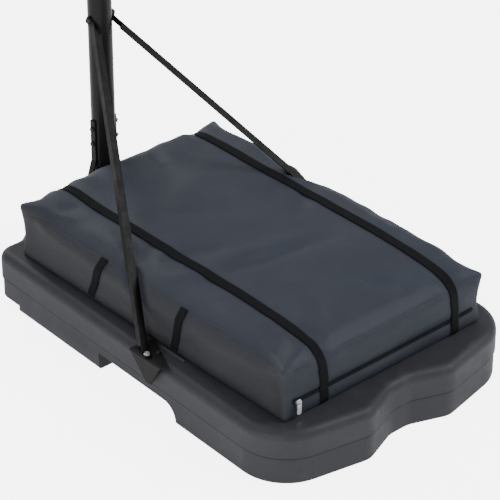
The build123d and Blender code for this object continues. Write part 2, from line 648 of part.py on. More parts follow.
# ---------------------------------------------------------------- every node
def build():
    keep("tank_shell", tank_shell())
    keep("fill_cap", fill_cap())
    keep("fill_cap_seal", cap_seal())
    axle = rod(AXLE_R, (-AXLE_HALF, 0, AXLE_Z), (AXLE_HALF, 0, AXLE_Z))
    keep("wheel_axle", axle)
    keep("wheel_right", wheel(1))
    keep("wheel_left", wheel(-1))
    keep("axle_push_nuts", *push_nuts())

    keep("lower_pole", lower_pole())
    keep("pole_foot_plug", pole_foot())
    keep("foot_strap_right", foot_strap())
    keep("foot_strap_left", mirrored(foot_strap()))
    reach = POLE_R + FOOT_STRAP
    keep("foot_strap_bolts", *[cross_bolt(z, 4, reach, 7.5, 5) for z in FOOT_BOLTS_Z])
    keep("foot_strap_nuts", *[cross_nut(z, 4, reach, 7.5, 6) for z in FOOT_BOLTS_Z])
    on_strap = TANK_TOP + FOOT_STRAP
    keep("foot_strap_screws", *[bolt((x, y, on_strap), (0, 0, -1), 4, 18, 7, 4) for x, y in foot_screws()])

    keep("strut_right", strut())
    keep("strut_left", mirrored(strut()))
    reach = POLE_R + TAB_T
    keep("strut_top_bolt", cross_bolt(STRUT_TOP_Z, 5, reach, 9, 6))
    keep("strut_top_nut", cross_nut(STRUT_TOP_Z, 5, reach, 9, 8))
    keep("strut_plate_right", strut_plate())
    keep("strut_plate_left", mirrored(strut_plate()))
    keep("strut_foot_bolts", strut_foot_bolt(), mirrored(strut_foot_bolt()))
    keep("strut_foot_nuts", strut_foot_nut(), mirrored(strut_foot_nut()))
    keep("strut_plate_screws", plate_screw(), mirrored(plate_screw()))

    keep("bag_cover", bag_cover())
    pouches = [(c, r) for r in (0, 1) for c in NEAR]
    for number, (column, row) in enumerate(pouches, 1):
        keep(f"sand_pouch_{number}", sand_pouch(column, row))
    for name, x in STRAP_X.items():
        keep(name, cover_strap(x))
    for place, y in SIDE_STRAP_Y.items():
        keep(f"side_strap_{place}_right", side_strap(1, y))
        keep(f"side_strap_{place}_left", side_strap(-1, y))
    keep("zip_tape", *zip_tape())
    keep("zip_slider", zip_slider())
    keep("zip_pull", zip_pull())

    keep("middle_pole", middle_pole())
    keep("pole_joint_screws", *joint_screws())
    keep("pole_collar", pole_collar())
    keep("clamp_stud", clamp_stud())
    keep("clamp_knob", clamp_knob())
    keep("inner_pole", inner_pole())
    keep("guide_bush", guide_bush())
    keep("pole_cap", pole_cap())

    keep("board_panel", board_panel())
    keep("board_frame", board_frame())
    places = panel_screw_places()
    keep("panel_screws", *[bolt((x, BOARD_FACE, z), (0, 1, 0), 2.5, 12, 6, 2.5) for x, z in places])
    for name, z in zip(("lower", "upper"), ARM_Z):
        keep(f"board_arms_{name}", board_arm(1, z), board_arm(-1, z))
    reach = INNER_R + ARM_T
    keep("arm_cross_bolts", *[cross_bolt(z, 5, reach, 9, 6) for z in ARM_Z])
    keep("arm_cross_nuts", *[cross_nut(z, 5, reach, 9, 8) for z in ARM_Z])
    keep("arm_rail_bolts", *arm_bolts())

    keep("rim_mount", rim_mount())
    keep("rim_pin", rim_pin())
    keep("rim_bolts", *rim_bolts())
    keep("rim_nuts", *rim_nuts())
    keep("rim_ring", rim_ring())
    keep("rim_springs", *rim_springs())
    keep("net", net())


build()
os.makedirs("parts", exist_ok=True)
for name, shape in PARTS.items():
    export_step(shape, f"parts/{name}.step")
print(len(PARTS), "nodes")
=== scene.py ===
import json
import math

import bmesh
import bpy
import numpy as np
from mathutils import Matrix, Vector, noise
from mathutils.bvhtree import BVHTree


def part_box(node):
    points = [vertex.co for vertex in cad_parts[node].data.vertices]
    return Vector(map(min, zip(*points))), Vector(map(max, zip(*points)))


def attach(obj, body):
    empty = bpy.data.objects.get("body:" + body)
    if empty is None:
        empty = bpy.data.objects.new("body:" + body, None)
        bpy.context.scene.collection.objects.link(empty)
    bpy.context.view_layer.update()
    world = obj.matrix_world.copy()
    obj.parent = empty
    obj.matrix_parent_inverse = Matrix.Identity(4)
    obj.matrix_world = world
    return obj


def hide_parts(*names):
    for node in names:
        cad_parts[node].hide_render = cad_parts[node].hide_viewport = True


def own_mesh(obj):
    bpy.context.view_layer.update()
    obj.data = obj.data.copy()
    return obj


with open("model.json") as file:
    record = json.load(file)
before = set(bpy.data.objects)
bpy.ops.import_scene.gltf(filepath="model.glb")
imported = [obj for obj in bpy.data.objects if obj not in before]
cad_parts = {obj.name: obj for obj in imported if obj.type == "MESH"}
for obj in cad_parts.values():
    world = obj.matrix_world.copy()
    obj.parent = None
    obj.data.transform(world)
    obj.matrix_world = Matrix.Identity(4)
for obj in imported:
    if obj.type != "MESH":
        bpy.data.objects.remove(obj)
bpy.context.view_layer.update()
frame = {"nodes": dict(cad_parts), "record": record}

bl_info = {
    "name": "Portable Basketball Hoop",
    "version": (1, 0, 0),
    "blender": (4, 5, 0),
    "location": "View3D > Sidebar > Hoop",
    "description": "Finishes and soft goods of a portable basketball hoop, built round its fixed frame",
    "category": "Object",
}

LEFT_RIGHT = (1, -1)
LONG_STRAPS = ("strap_right", "strap_left")
SIDE_STRAPS = [node for node in frame["nodes"] if node.startswith("side_strap")]


# ---------------------------------------------------------------- sizes and colours
class BagSettings(bpy.types.PropertyGroup):
    crown: bpy.props.FloatProperty(
        name="Crown", description="How far the lid rises in its middle", default=0.026, unit="LENGTH")
    fold: bpy.props.FloatProperty(
        name="Folds", description="How strongly the lid's creases and dents show", default=1.6)
    welt: bpy.props.FloatProperty(
        name="Welt height", description="Height of the lid's seam over the tank",
        default=0.137, unit="LENGTH")
    roll: bpy.props.FloatProperty(
        name="Edge roll", description="Radius of the filled bag's upper edges", default=0.046, unit="LENGTH")
    inset: bpy.props.FloatProperty(
        name="Inset", description="How far the cloth starts inside the full size",
        default=-0.002, unit="LENGTH")
    step: bpy.props.FloatProperty(
        name="Mesh step", description="Spacing of the cloth's first mesh", default=0.0115, unit="LENGTH")
    pressure: bpy.props.FloatProperty(
        name="Pressure", description="Inside pressure of the cloth while it fills out", default=4.0)
    cap: bpy.props.FloatProperty(
        name="Travel cap", description="Furthest that a point of the cloth may move",
        default=0.008, unit="LENGTH")
    colour: bpy.props.FloatVectorProperty(
        name="Fabric", description="Coated fabric", default=(0.030, 0.036, 0.052), size=3, subtype="COLOR")
    side_colour: bpy.props.FloatVectorProperty(
        name="Wall fabric", description="Fabric of the walls",
        default=(0.026, 0.026, 0.031), size=3, subtype="COLOR")


class TrimSettings(bpy.types.PropertyGroup):
    web_width: bpy.props.FloatProperty(
        name="Webbing width", description="Width of every strap", default=0.025, unit="LENGTH")
    web_thick: bpy.props.FloatProperty(
        name="Webbing thickness", description="Thickness of every strap", default=0.0018, unit="LENGTH")
    piping: bpy.props.FloatProperty(
        name="Piping radius", description="Radius of the welted edge", default=0.0016, unit="LENGTH")
    stitch: bpy.props.FloatProperty(
        name="Stitch pitch", description="Distance from stitch to stitch", default=0.006, unit="LENGTH")
    tooth: bpy.props.FloatProperty(
        name="Zip pitch", description="Distance from tooth to tooth", default=0.0026, unit="LENGTH")
    web_colour: bpy.props.FloatVectorProperty(
        name="Webbing", description="Webbing colour", default=(0.003, 0.0034, 0.005), size=3, subtype="COLOR")


class HardSettings(bpy.types.PropertyGroup):
    tank_colour: bpy.props.FloatVectorProperty(
        name="Tank", description="Moulded tank", default=(0.036, 0.037, 0.044), size=3, subtype="COLOR")
    steel_colour: bpy.props.FloatVectorProperty(
        name="Powder coat", description="Poles and struts",
        default=(0.0085, 0.0085, 0.0094), size=3, subtype="COLOR")
    rim_colour: bpy.props.FloatVectorProperty(
        name="Rim", description="Rim paint", default=(0.70, 0.115, 0.02), size=3, subtype="COLOR")
    net_rows: bpy.props.IntProperty(
        name="Net rows", description="Rows of open diamonds in the net", default=5)
    cord: bpy.props.FloatProperty(
        name="Net cord", description="Radius of the net's cord", default=0.0028, unit="LENGTH")


class StageSettings(bpy.types.PropertyGroup):
    floor_colour: bpy.props.FloatVectorProperty(
        name="Floor", description="Plain pale floor", default=(0.88, 0.88, 0.88), size=3, subtype="COLOR")
    floor_glow: bpy.props.FloatProperty(
        name="Floor glow", description="How brightly the lit floor shows to the camera", default=5.5)
    azimuth: bpy.props.FloatProperty(
        name="Azimuth", description="Camera's turn about the hoop",
        default=math.radians(138.24), subtype="ANGLE")
    elevation: bpy.props.FloatProperty(
        name="Elevation", description="Camera's height above level",
        default=math.radians(31.91), subtype="ANGLE")
    lens: bpy.props.FloatProperty(name="Lens", description="Focal length in millimetres", default=187.2)
    place: bpy.props.FloatVectorProperty(
        name="Camera place", description="Camera position",
        default=(3.6785, 4.6963, 3.7045), size=3, unit="LENGTH")


# ---------------------------------------------------------------- shader helpers
class Shader:
    """One material's node tree, with short calls for the nodes that the finishes share."""

    def __init__(self, name):
        self.material = bpy.data.materials.new(name)
        self.material.use_nodes = True
        self.tree = self.material.node_tree
        self.surface = self.tree.nodes["Principled BSDF"]

    def add(self, kind, inputs=None, **settings):
        node = self.tree.nodes.new(kind)
        for key, value in settings.items():
            setattr(node, key, value)
        for key, value in (inputs or {}).items():
            self.link(value, node.inputs[key])
        return node

    def link(self, value, socket):
        if isinstance(value, bpy.types.NodeSocket):
            self.tree.links.new(value, socket)
        else:
            socket.default_value = value

    def set(self, **values):
        """Sets the surface's own sockets; an underscore in a name stands for a space."""
        for key, value in values.items():
            if key == "Base_Color" and not isinstance(value, bpy.types.NodeSocket):
                value = (*value, 1.0)
            self.link(value, self.surface.inputs[key.replace("_", " ")])

    def place(self, kind="Object", scale=(1, 1, 1), turn=(0, 0, 0)):
        source = self.add("ShaderNodeTexCoord").outputs[kind]
        inputs = {"Vector": source, "Scale": scale, "Rotation": turn}
        return self.add("ShaderNodeMapping", inputs).outputs["Vector"]

    def noise(self, scale, detail=3.0, rough=0.5, where=None):
        inputs = {"Vector": where or self.place(), "Scale": scale, "Detail": detail, "Roughness": rough}
        return self.add("ShaderNodeTexNoise", inputs).outputs["Fac"]

    def band(self, value, low, high, start=0.0, end=1.0):
        """Start where the value is at low or under, end at high or over, and a straight ramp between."""
        inputs = {"Value": value, "From Min": low, "From Max": high, "To Min": start, "To Max": end}
        return self.add("ShaderNodeMapRange", inputs).outputs["Result"]

    def maths(self, operation, a, b=0.0):
        return self.add("ShaderNodeMath", {0: a, 1: b}, operation=operation).outputs[0]

    def blend(self, amount, a, b):
        node = self.add("ShaderNodeMix", data_type="RGBA")
        self.link(amount, node.inputs[0])
        for socket, colour in ((node.inputs[6], a), (node.inputs[7], b)):
            self.link(colour if isinstance(colour, bpy.types.NodeSocket) else (*colour, 1.0), socket)
        return node.outputs[2]

    def bump(self, height, strength, distance, under=None):
        inputs = {"Height": height, "Strength": strength, "Distance": distance}
        if under is not None:
            inputs["Normal"] = under
        return self.add("ShaderNodeBump", inputs).outputs["Normal"]

    def edge(self, low=0.52, high=0.62):
        """1 on outward edges and 0 elsewhere."""
        point = self.add("ShaderNodeNewGeometry").outputs["Pointiness"]
        return self.band(point, low, high)


def shade(colour, factor):
    return tuple(min(1.0, c * factor) for c in colour)


def moulded(name, colour, grain=700.0, rough=0.5, seam=None):
    """Polyethylene out of a textured mould, with faint flow marks, a little dust and a dark parting line."""
    s = Shader(name)
    flow = s.noise(3.5, 4.0, 0.6)
    dust = s.noise(28.0, 5.0, 0.65)
    tone = s.blend(s.band(flow, 0.35, 0.7), shade(colour, 0.86), shade(colour, 1.16))
    tone = s.blend(s.maths("MULTIPLY", s.band(dust, 0.55, 0.8), 0.35), tone, shade(colour, 1.9))
    tone = s.blend(s.maths("MULTIPLY", s.edge(), 0.5), tone, shade(colour, 2.1))
    if seam is not None:
        height = s.add("ShaderNodeSeparateXYZ", {"Vector": s.place()}).outputs["Z"]
        away = s.maths("ABSOLUTE", s.maths("SUBTRACT", height, seam))
        tone = s.blend(s.band(away, 0.0012, 0.0035, 0.85, 0.0), tone, shade(colour, 0.12))
    s.set(Base_Color=tone, Roughness=s.band(dust, 0.3, 0.75, rough - 0.06, rough + 0.12),
          Specular_IOR_Level=0.3)
    pits = s.noise(grain, 2.0, 0.5)
    wave = s.noise(7.0, 2.0, 0.4)
    s.set(Normal=s.bump(pits, 0.35, 0.0006, s.bump(wave, 0.25, 0.004)))
    return s.material


def powder_coat(name, colour, rough=0.36, chips=0.0, shine=0.22):
    """Baked powder paint on steel: orange peel, faint streaks, and worn edges where chips is set."""
    s = Shader(name)
    streak = s.noise(9.0, 4.0, 0.6, s.place(scale=(6, 6, 0.35)))
    tone = s.blend(s.band(streak, 0.42, 0.72), colour, shade(colour, 1.35))
    if chips:
        wear = s.maths("MULTIPLY", s.edge(0.56, 0.7), s.band(s.noise(55.0, 4.0, 0.7), 0.42, 0.6))
        tone = s.blend(s.maths("MULTIPLY", wear, chips), tone, (0.2, 0.19, 0.18))
    s.set(Base_Color=tone, Roughness=s.band(streak, 0.3, 0.8, rough - 0.07, rough + 0.1),
          Specular_IOR_Level=shine)
    s.set(Normal=s.bump(s.noise(420.0, 2.0, 0.5), 0.16, 0.0007))
    return s.material


def bare_metal(name, colour, rough):
    """Plated or blackened steel with fine brush marks and cloudy wear."""
    s = Shader(name)
    cloud = s.noise(60.0, 5.0, 0.6)
    brush = s.noise(900.0, 2.0, 0.5)
    tone = s.blend(s.band(cloud, 0.35, 0.7), shade(colour, 0.78), shade(colour, 1.12))
    s.set(Base_Color=tone, Metallic=1.0, Roughness=s.band(cloud, 0.3, 0.75, rough - 0.06, rough + 0.14))
    s.set(Normal=s.bump(brush, 0.12, 0.0003))
    return s.material


def coated_fabric(name, colour, wall):
    """Tight plain-weave polyester with a satin coating; the lid and the end panels are bluer, and the end
    panels take the lid colour darkened to 0.74 as painted shade.
    """
    s = Shader(name)
    uv = s.place("UV")
    parts = s.add("ShaderNodeSeparateXYZ", {"Vector": uv})
    thread = 0.0011
    pitch = 2 * math.pi / thread
    warp = s.maths("SINE", s.maths("MULTIPLY", parts.outputs["X"], pitch))
    weft = s.maths("SINE", s.maths("MULTIPLY", parts.outputs["Y"], pitch))
    weave = s.maths("MULTIPLY", warp, weft)
    tilt = s.add("ShaderNodeSeparateXYZ", {"Vector": s.add("ShaderNodeNewGeometry").outputs["Normal"]})
    lid = s.band(tilt.outputs["Z"], 0.35, 0.75)
    cloud = s.noise(5.0, 5.0, 0.62)
    end = s.band(s.maths("ABSOLUTE", tilt.outputs["Y"]), 0.5, 0.8)
    # Faces turned to the ends take the lid colour darkened to 0.74: painted shade.
    panel = s.blend(end, wall, shade(colour, 0.74))
    tone = s.blend(lid, panel, colour)
    light = s.blend(lid, s.blend(end, shade(wall, 1.28), shade(colour, 0.92)), shade(colour, 1.25))
    tone = s.blend(s.band(cloud, 0.38, 0.72), tone, light)
    rub = s.maths("MULTIPLY", s.edge(0.52, 0.60), 0.10)
    tone = s.blend(rub, tone, shade(colour, 2.2))
    s.set(Base_Color=tone, Roughness=s.band(cloud, 0.3, 0.7, 0.50, 0.62), Specular_IOR_Level=0.32)
    s.set(Sheen_Weight=0.03, Sheen_Roughness=0.5, Sheen_Tint=(0.55, 0.62, 0.8, 1.0))
    ripple = s.bump(s.noise(24.0, 4.0, 0.6), 0.30, 0.004)
    s.set(Normal=s.bump(weave, 0.22, 0.00035, ripple))
    return s.material


def webbing(name, colour):
    """Woven webbing: a herringbone across the strap."""
    s = Shader(name)
    parts = s.add("ShaderNodeSeparateXYZ", {"Vector": s.place("UV")})
    across, along = parts.outputs["X"], parts.outputs["Y"]
    rib = 2 * math.pi / 0.0026
    zig = s.maths("PINGPONG", across, 0.003)
    twill = s.maths("SINE", s.maths("MULTIPLY", s.maths("ADD", along, zig), rib))
    tone = s.blend(s.band(twill, -0.6, 0.9), shade(colour, 0.7), shade(colour, 1.9))
    s.set(Base_Color=tone, Roughness=0.78, Specular_IOR_Level=0.2)
    s.set(Normal=s.bump(twill, 0.55, 0.0006))
    return s.material


def cord_fibre(name, colour):
    """Braided cord: two strands crossing along the cord's own length."""
    s = Shader(name)
    parts = s.add("ShaderNodeSeparateXYZ", {"Vector": s.place()})
    turn = s.maths("ADD", s.maths("MULTIPLY", parts.outputs["Z"], 2 * math.pi / 0.007), parts.outputs["X"])
    strand = s.maths("SINE", turn)
    fuzz = s.noise(500.0, 3.0, 0.6)
    tone = s.blend(s.band(strand, -1.0, 0.8), shade(colour, 0.72), colour)
    s.set(Base_Color=tone, Roughness=0.85, Sheen_Weight=0.3, Sheen_Roughness=0.5)
    s.set(Normal=s.bump(strand, 0.4, 0.001, s.bump(fuzz, 0.3, 0.0006)))
    return s.material


def clear_sheet(name):
    """Clear polycarbonate with hairline scratches."""
    s = Shader(name)
    hair = s.noise(40.0, 6.0, 0.7, s.place(scale=(1, 1, 9), turn=(0, 0.5, 0)))
    s.set(Base_Color=(0.74, 0.82, 0.87), Roughness=s.band(hair, 0.45, 0.7, 0.05, 0.22), Alpha=0.34)
    s.set(Coat_Weight=0.5, Coat_Roughness=0.06, Specular_IOR_Level=0.7)
    s.material.surface_render_method = "BLENDED"
    return s.material


def screen_paint(name, colour):
    s = Shader(name)
    worn = s.noise(30.0, 5.0, 0.7)
    tone = s.blend(s.band(worn, 0.5, 0.78), colour, shade(colour, 0.86))
    s.set(Base_Color=tone, Roughness=s.band(worn, 0.3, 0.8, 0.38, 0.6))
    s.set(Normal=s.bump(s.noise(300.0, 2.0, 0.5), 0.1, 0.0004))
    return s.material


def soft_rubber(name, colour):
    s = Shader(name)
    grit = s.noise(350.0, 4.0, 0.6)
    s.set(Base_Color=s.blend(s.band(grit, 0.4, 0.75), colour, shade(colour, 1.8)), Roughness=0.82)
    s.set(Normal=s.bump(grit, 0.4, 0.0006))
    return s.material


MATERIALS = {}
TANK_SEAM = 0.0755  # height of the parting line between the tank's mould halves


def finishes():
    """Every finish, made once and then shared by name."""
    if MATERIALS:
        return MATERIALS
    scene = bpy.context.scene
    hard, bag, trim = scene.hoop_hard, scene.hoop_bag, scene.hoop_trim
    steel = tuple(hard.steel_colour)
    MATERIALS.update({
        "tank": moulded("tank_polyethylene", tuple(hard.tank_colour), seam=TANK_SEAM),
        "cap": moulded("black_moulding", (0.030, 0.030, 0.033), grain=900.0, rough=0.42),
        "wheel": moulded("wheel_nylon", (0.026, 0.026, 0.028), grain=500.0, rough=0.5),
        "steel": powder_coat("powder_coat", steel, rough=0.32),
        # The struts' coat is the poles' colour darkened to 0.3: painted shade.
        "strut": powder_coat("strut_coat_painted_shade", shade(steel, 0.30), rough=0.42, shine=0.12),
        "plate": powder_coat("plate_coat", shade(steel, 0.8), rough=0.5),
        "rim": powder_coat("rim_paint", tuple(hard.rim_colour), rough=0.28, chips=0.2),
        "zinc": bare_metal("zinc_plate", (0.62, 0.62, 0.60), rough=0.34),
        "black_bolt": bare_metal("black_oxide", (0.055, 0.055, 0.06), rough=0.42),
        "spring": bare_metal("spring_steel", (0.42, 0.42, 0.44), rough=0.3),
        "bright": bare_metal("zip_nickel", (0.95, 0.95, 0.96), rough=0.40),
        "fabric": coated_fabric("bag_fabric", tuple(bag.colour), tuple(bag.side_colour)),
        "piping": coated_fabric("piping_fabric", shade(bag.colour, 0.9), shade(bag.side_colour, 0.9)),
        "webbing": webbing("strap_webbing", tuple(trim.web_colour)),
        "tape": webbing("zip_tape", (0.006, 0.007, 0.010)),
        "thread": soft_rubber("stitch_thread", (0.030, 0.033, 0.042)),
        "net": cord_fibre("net_cord", (0.86, 0.86, 0.83)),
        "clear": clear_sheet("clear_panel"),
        # The nodes whose finish isn't their slot's own: the struts take the poles' powder coat darkened to
        # 0.3, a painted shade.
        "paint": screen_paint("board_paint", (0.86, 0.86, 0.86)),
        "seal": soft_rubber("rubber_seal", (0.02, 0.02, 0.02)),
        "sack": moulded("pouch_film", (0.50, 0.46, 0.37), grain=300.0, rough=0.6),
    })
    return MATERIALS


# ---------------------------------------------------------------- mesh helpers
def place_object(name, data):
    thing = bpy.data.objects.new(name, data)
    bpy.context.collection.objects.link(thing)
    return thing


def give_finish(piece, finish):
    piece.data.materials.clear()
    piece.data.materials.append(finishes()[finish])
    return piece


def mesh_from(name, verts, faces, finish, smooth=True):
    mesh = bpy.data.meshes.new(name)
    mesh.from_pydata([tuple(v) for v in verts], [], faces)
    mesh.validate()
    mesh.polygons.foreach_set("use_smooth", [smooth] * len(mesh.polygons))
    return give_finish(place_object(name, mesh), finish)


def outward(piece):
    """Merges doubles and turns every face outwards."""
    work = bmesh.new()
    work.from_mesh(piece.data)
    bmesh.ops.remove_doubles(work, verts=work.verts, dist=1e-6)
    bmesh.ops.recalc_face_normals(work, faces=work.faces)
    work.to_mesh(piece.data)
    work.free()


def bake_modifiers(piece):
    """Turns what the modifiers make into the piece's own plain mesh."""
    graph = bpy.context.evaluated_depsgraph_get()
    mesh = bpy.data.meshes.new_from_object(piece.evaluated_get(graph))
    old = piece.data
    piece.modifiers.clear()
    piece.data = mesh
    if isinstance(old, bpy.types.Mesh):
        bpy.data.meshes.remove(old)
    return piece


def set_points(piece, points):
    """Moves every vertex of a piece to the given points."""
    piece.data.vertices.foreach_set("co", np.asarray(points, dtype=np.float32).ravel())
    piece.data.update()


def points_of(mesh):
    flat = np.empty(len(mesh.vertices) * 3, dtype=np.float32)
    mesh.vertices.foreach_get("co", flat)
    return flat.reshape(-1, 3).astype(float)


def box_of(node):
    low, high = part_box(node)
    return Vector(low), Vector(high)


def strap_lines():
    """Where the two long straps cross the bag, across its width."""
    return [(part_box(node)[0][0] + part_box(node)[1][0]) / 2 for node in LONG_STRAPS]


def tube_along(name, points, radius, finish, closed=False, sides=8):
    """A round tube through points, with its own lengthwise UV map in metres."""
    points = [Vector(p) for p in points]
    count = len(points)
    verts, faces, uvs = [], [], []
    up = Vector((0, 0, 1))
    length = 0.0
    lengths = []
    for i, p in enumerate(points):
        before = points[i - 1] if i or closed else p
        after = points[(i + 1) % count] if i + 1 < count or closed else p
        tangent = (after - before).normalized()
        if abs(tangent.dot(up)) > 0.95:
            up = Vector((1, 0, 0)) if abs(tangent.x) < 0.9 else Vector((0, 1, 0))
        side = tangent.cross(up).normalized()
        up = side.cross(tangent).normalized()
        if i:
            length += (p - points[i - 1]).length
        lengths.append(length)
        for k in range(sides):
            turn = 2 * math.pi * k / sides
            verts.append(p + (side * math.cos(turn) + up * math.sin(turn)) * radius)
    rings = count if closed else count - 1
    for i in range(rings):
        j = (i + 1) % count
        for k in range(sides):
            m = (k + 1) % sides
            faces.append((i * sides + k, i * sides + m, j * sides + m, j * sides + k))
            u0, u1 = k / sides * radius * 6.28, (k + 1) / sides * radius * 6.28
            v0, v1 = lengths[i], lengths[i + 1] if i + 1 < count else lengths[i] + 0.01
            uvs.extend([(u0, v0), (u1, v0), (u1, v1), (u0, v1)])
    if not closed:
        faces.append(tuple(reversed(range(sides))))
        faces.append(tuple(range((count - 1) * sides, count * sides)))
        uvs.extend([(0, 0)] * (2 * sides))
    piece = mesh_from(name, verts, faces, finish)
    layer = piece.data.uv_layers.new(name="UVMap")
    for loop, uv in zip(layer.data, uvs):
        loop.uv = uv
    outward(piece)
    return piece


# ---------------------------------------------------------------- ballast bag
def bag_lattice(low, high, counts):
    """The closed quad skin of a box lattice: its points, faces, and each point's lattice place."""
    nx, ny, nz = counts
    index, places, faces = {}, [], []

    def at(i, j, k):
        key = (i, j, k)
        if key not in index:
            index[key] = len(places)
            places.append(key)
        return index[key]

    for i in range(nx):
        for j in range(ny):
            faces.append((at(i, j, nz), at(i + 1, j, nz), at(i + 1, j + 1, nz), at(i, j + 1, nz)))
            faces.append((at(i, j, 0), at(i, j + 1, 0), at(i + 1, j + 1, 0), at(i + 1, j, 0)))
    for k in range(nz):
        for i in range(nx):
            faces.append((at(i, 0, k), at(i + 1, 0, k), at(i + 1, 0, k + 1), at(i, 0, k + 1)))
            faces.append((at(i, ny, k), at(i, ny, k + 1), at(i + 1, ny, k + 1), at(i + 1, ny, k)))
        for j in range(ny):
            faces.append((at(0, j, k), at(0, j, k + 1), at(0, j + 1, k + 1), at(0, j + 1, k)))
            faces.append((at(nx, j, k), at(nx, j + 1, k), at(nx, j + 1, k + 1), at(nx, j, k + 1)))
    places = np.array(places, dtype=float)
    span = np.array(high) - np.array(low)
    points = np.array(low) + places / np.array(counts) * span
    return points, faces, places


# Radius of the lid's edge as a share of the full roll: [lower side, upper side] across X, then along Y.
EDGE_ROLL = ((0.30, 1.0), (0.30, 0.70))


def soft_box(points, low, high, ear, roll):
    """Rolls a box's top edges over, from a tight ear at each corner to a full roll along the sides."""
    centre, half = (low + high) / 2, (high - low) / 2
    out = points.copy()
    for axis in (0, 1):
        other = 1 - axis
        side = np.sign(out[:, axis] - centre[axis])
        inside = half[axis] - np.abs(out[:, axis] - centre[axis])
        below = high[2] - out[:, 2]
        from_corner = np.clip((half[other] - np.abs(points[:, other] - centre[other])) / 0.13, 0, 1)
        full = roll * np.where(side < 0, *EDGE_ROLL[axis])
        radius = ear + (full - ear) * from_corner * from_corner * (3 - 2 * from_corner)
        on_top, on_wall = below < 1e-6, inside < 1e-6
        turn = np.where(on_top, math.pi / 4 * (1 - inside / radius), math.pi / 4 * (1 + below / radius))
        near = (on_top & (inside < radius)) | (on_wall & (below < radius))
        new_inside = radius * (1 - np.sin(turn))
        new_below = radius * (1 - np.cos(turn))
        out[:, axis] = np.where(near, centre[axis] + side * (half[axis] - new_inside), out[:, axis])
        out[:, 2] = np.where(near, high[2] - new_below, out[:, 2])
    return out


def swell(piece, settings, pins):
    """Fills the bag out with a short cloth simulation and keeps the result in its mesh."""
    start = points_of(piece.data)
    group = piece.vertex_groups.new(name="held")
    for weight in np.unique(np.round(pins, 2)):
        which = np.nonzero(np.abs(np.round(pins, 2) - weight) < 1e-6)[0].tolist()
        if weight > 0:
            group.add(which, float(weight), "REPLACE")
    cloth = piece.modifiers.new("cloth", "CLOTH")
    cloth.settings.quality = 6
    cloth.settings.mass = 0.4
    cloth.settings.tension_stiffness = 12
    cloth.settings.compression_stiffness = 12
    cloth.settings.shear_stiffness = 6
    cloth.settings.bending_stiffness = 0.35
    cloth.settings.use_pressure = True
    cloth.settings.uniform_pressure_force = settings.pressure
    cloth.settings.effector_weights.gravity = 0
    cloth.settings.vertex_group_mass = "held"
    cloth.settings.pin_stiffness = 1.0
    cloth.collision_settings.use_collision = False
    scene = bpy.context.scene
    for step in range(1, 21):
        scene.frame_set(step)
        bpy.context.view_layer.update()
    graph = bpy.context.evaluated_depsgraph_get()
    end = points_of(piece.evaluated_get(graph).to_mesh())
    piece.evaluated_get(graph).to_mesh_clear()
    piece.modifiers.clear()
    piece.vertex_groups.clear()
    scene.frame_set(1)
    move = end - start
    far = np.linalg.norm(move, axis=1)
    move *= np.minimum(1.0, settings.cap / np.maximum(far, 1e-9))[:, None]
    set_points(piece, start + move)


def hump(distance, width):
    return np.exp(-(distance / width) ** 2)


def segment_distance(points, a, b):
    """Distance in plan from each point to the segment a-b, and the place along it."""
    a, b = np.array(a), np.array(b)
    line = b - a
    along = np.clip(((points - a) @ line) / (line @ line), 0, 1)
    near = a + along[:, None] * line
    return np.linalg.norm(points - near, axis=1), along


# Folds and dents of the lid: start, end (in shares of the bag's width and length), width and depth in metres.
FOLDS = [
    ((0.84, 0.60), (0.28, 0.67), 0.020, -0.0055),
    ((0.80, 0.56), (0.30, 0.62), 0.028, 0.0040),
    ((0.70, 0.93), (0.62, 0.80), 0.024, -0.0070),
    ((0.80, 0.90), (0.74, 0.98), 0.018, -0.0080),
    ((0.32, 0.95), (0.40, 0.82), 0.024, -0.0070),
    ((0.22, 0.93), (0.14, 0.99), 0.018, -0.0080),
    ((0.96, 0.96), (0.86, 0.86), 0.024, -0.0060),
    ((0.86, 0.30), (0.95, 0.45), 0.020, -0.0100),
    ((0.80, 0.38), (0.93, 0.44), 0.018, -0.0080),
    ((0.90, 0.44), (0.70, 0.52), 0.022, -0.0060),
    ((0.93, 0.52), (0.78, 0.60), 0.018, 0.0050),
    ((0.10, 0.45), (0.26, 0.52), 0.024, -0.0060),
    ((0.30, 0.20), (0.60, 0.28), 0.040, 0.0030),
    ((0.45, 0.40), (0.68, 0.30), 0.030, -0.0035),
    ((0.04, 0.72), (0.12, 0.80), 0.020, -0.0060),
    ((0.37, 0.00), (0.42, 0.12), 0.024, -0.0080),
    ((0.12, 0.00), (0.18, 0.10), 0.020, -0.0070),
    ((0.62, 0.00), (0.60, 0.14), 0.030, 0.0040),
    ((0.94, 0.08), (0.84, 0.16), 0.020, -0.0050),
]


def wobble(points, pitch, seed):
    return np.array([noise.noise(Vector((p[0] / pitch, p[1] / pitch, p[2] / pitch + seed))) for p in points])


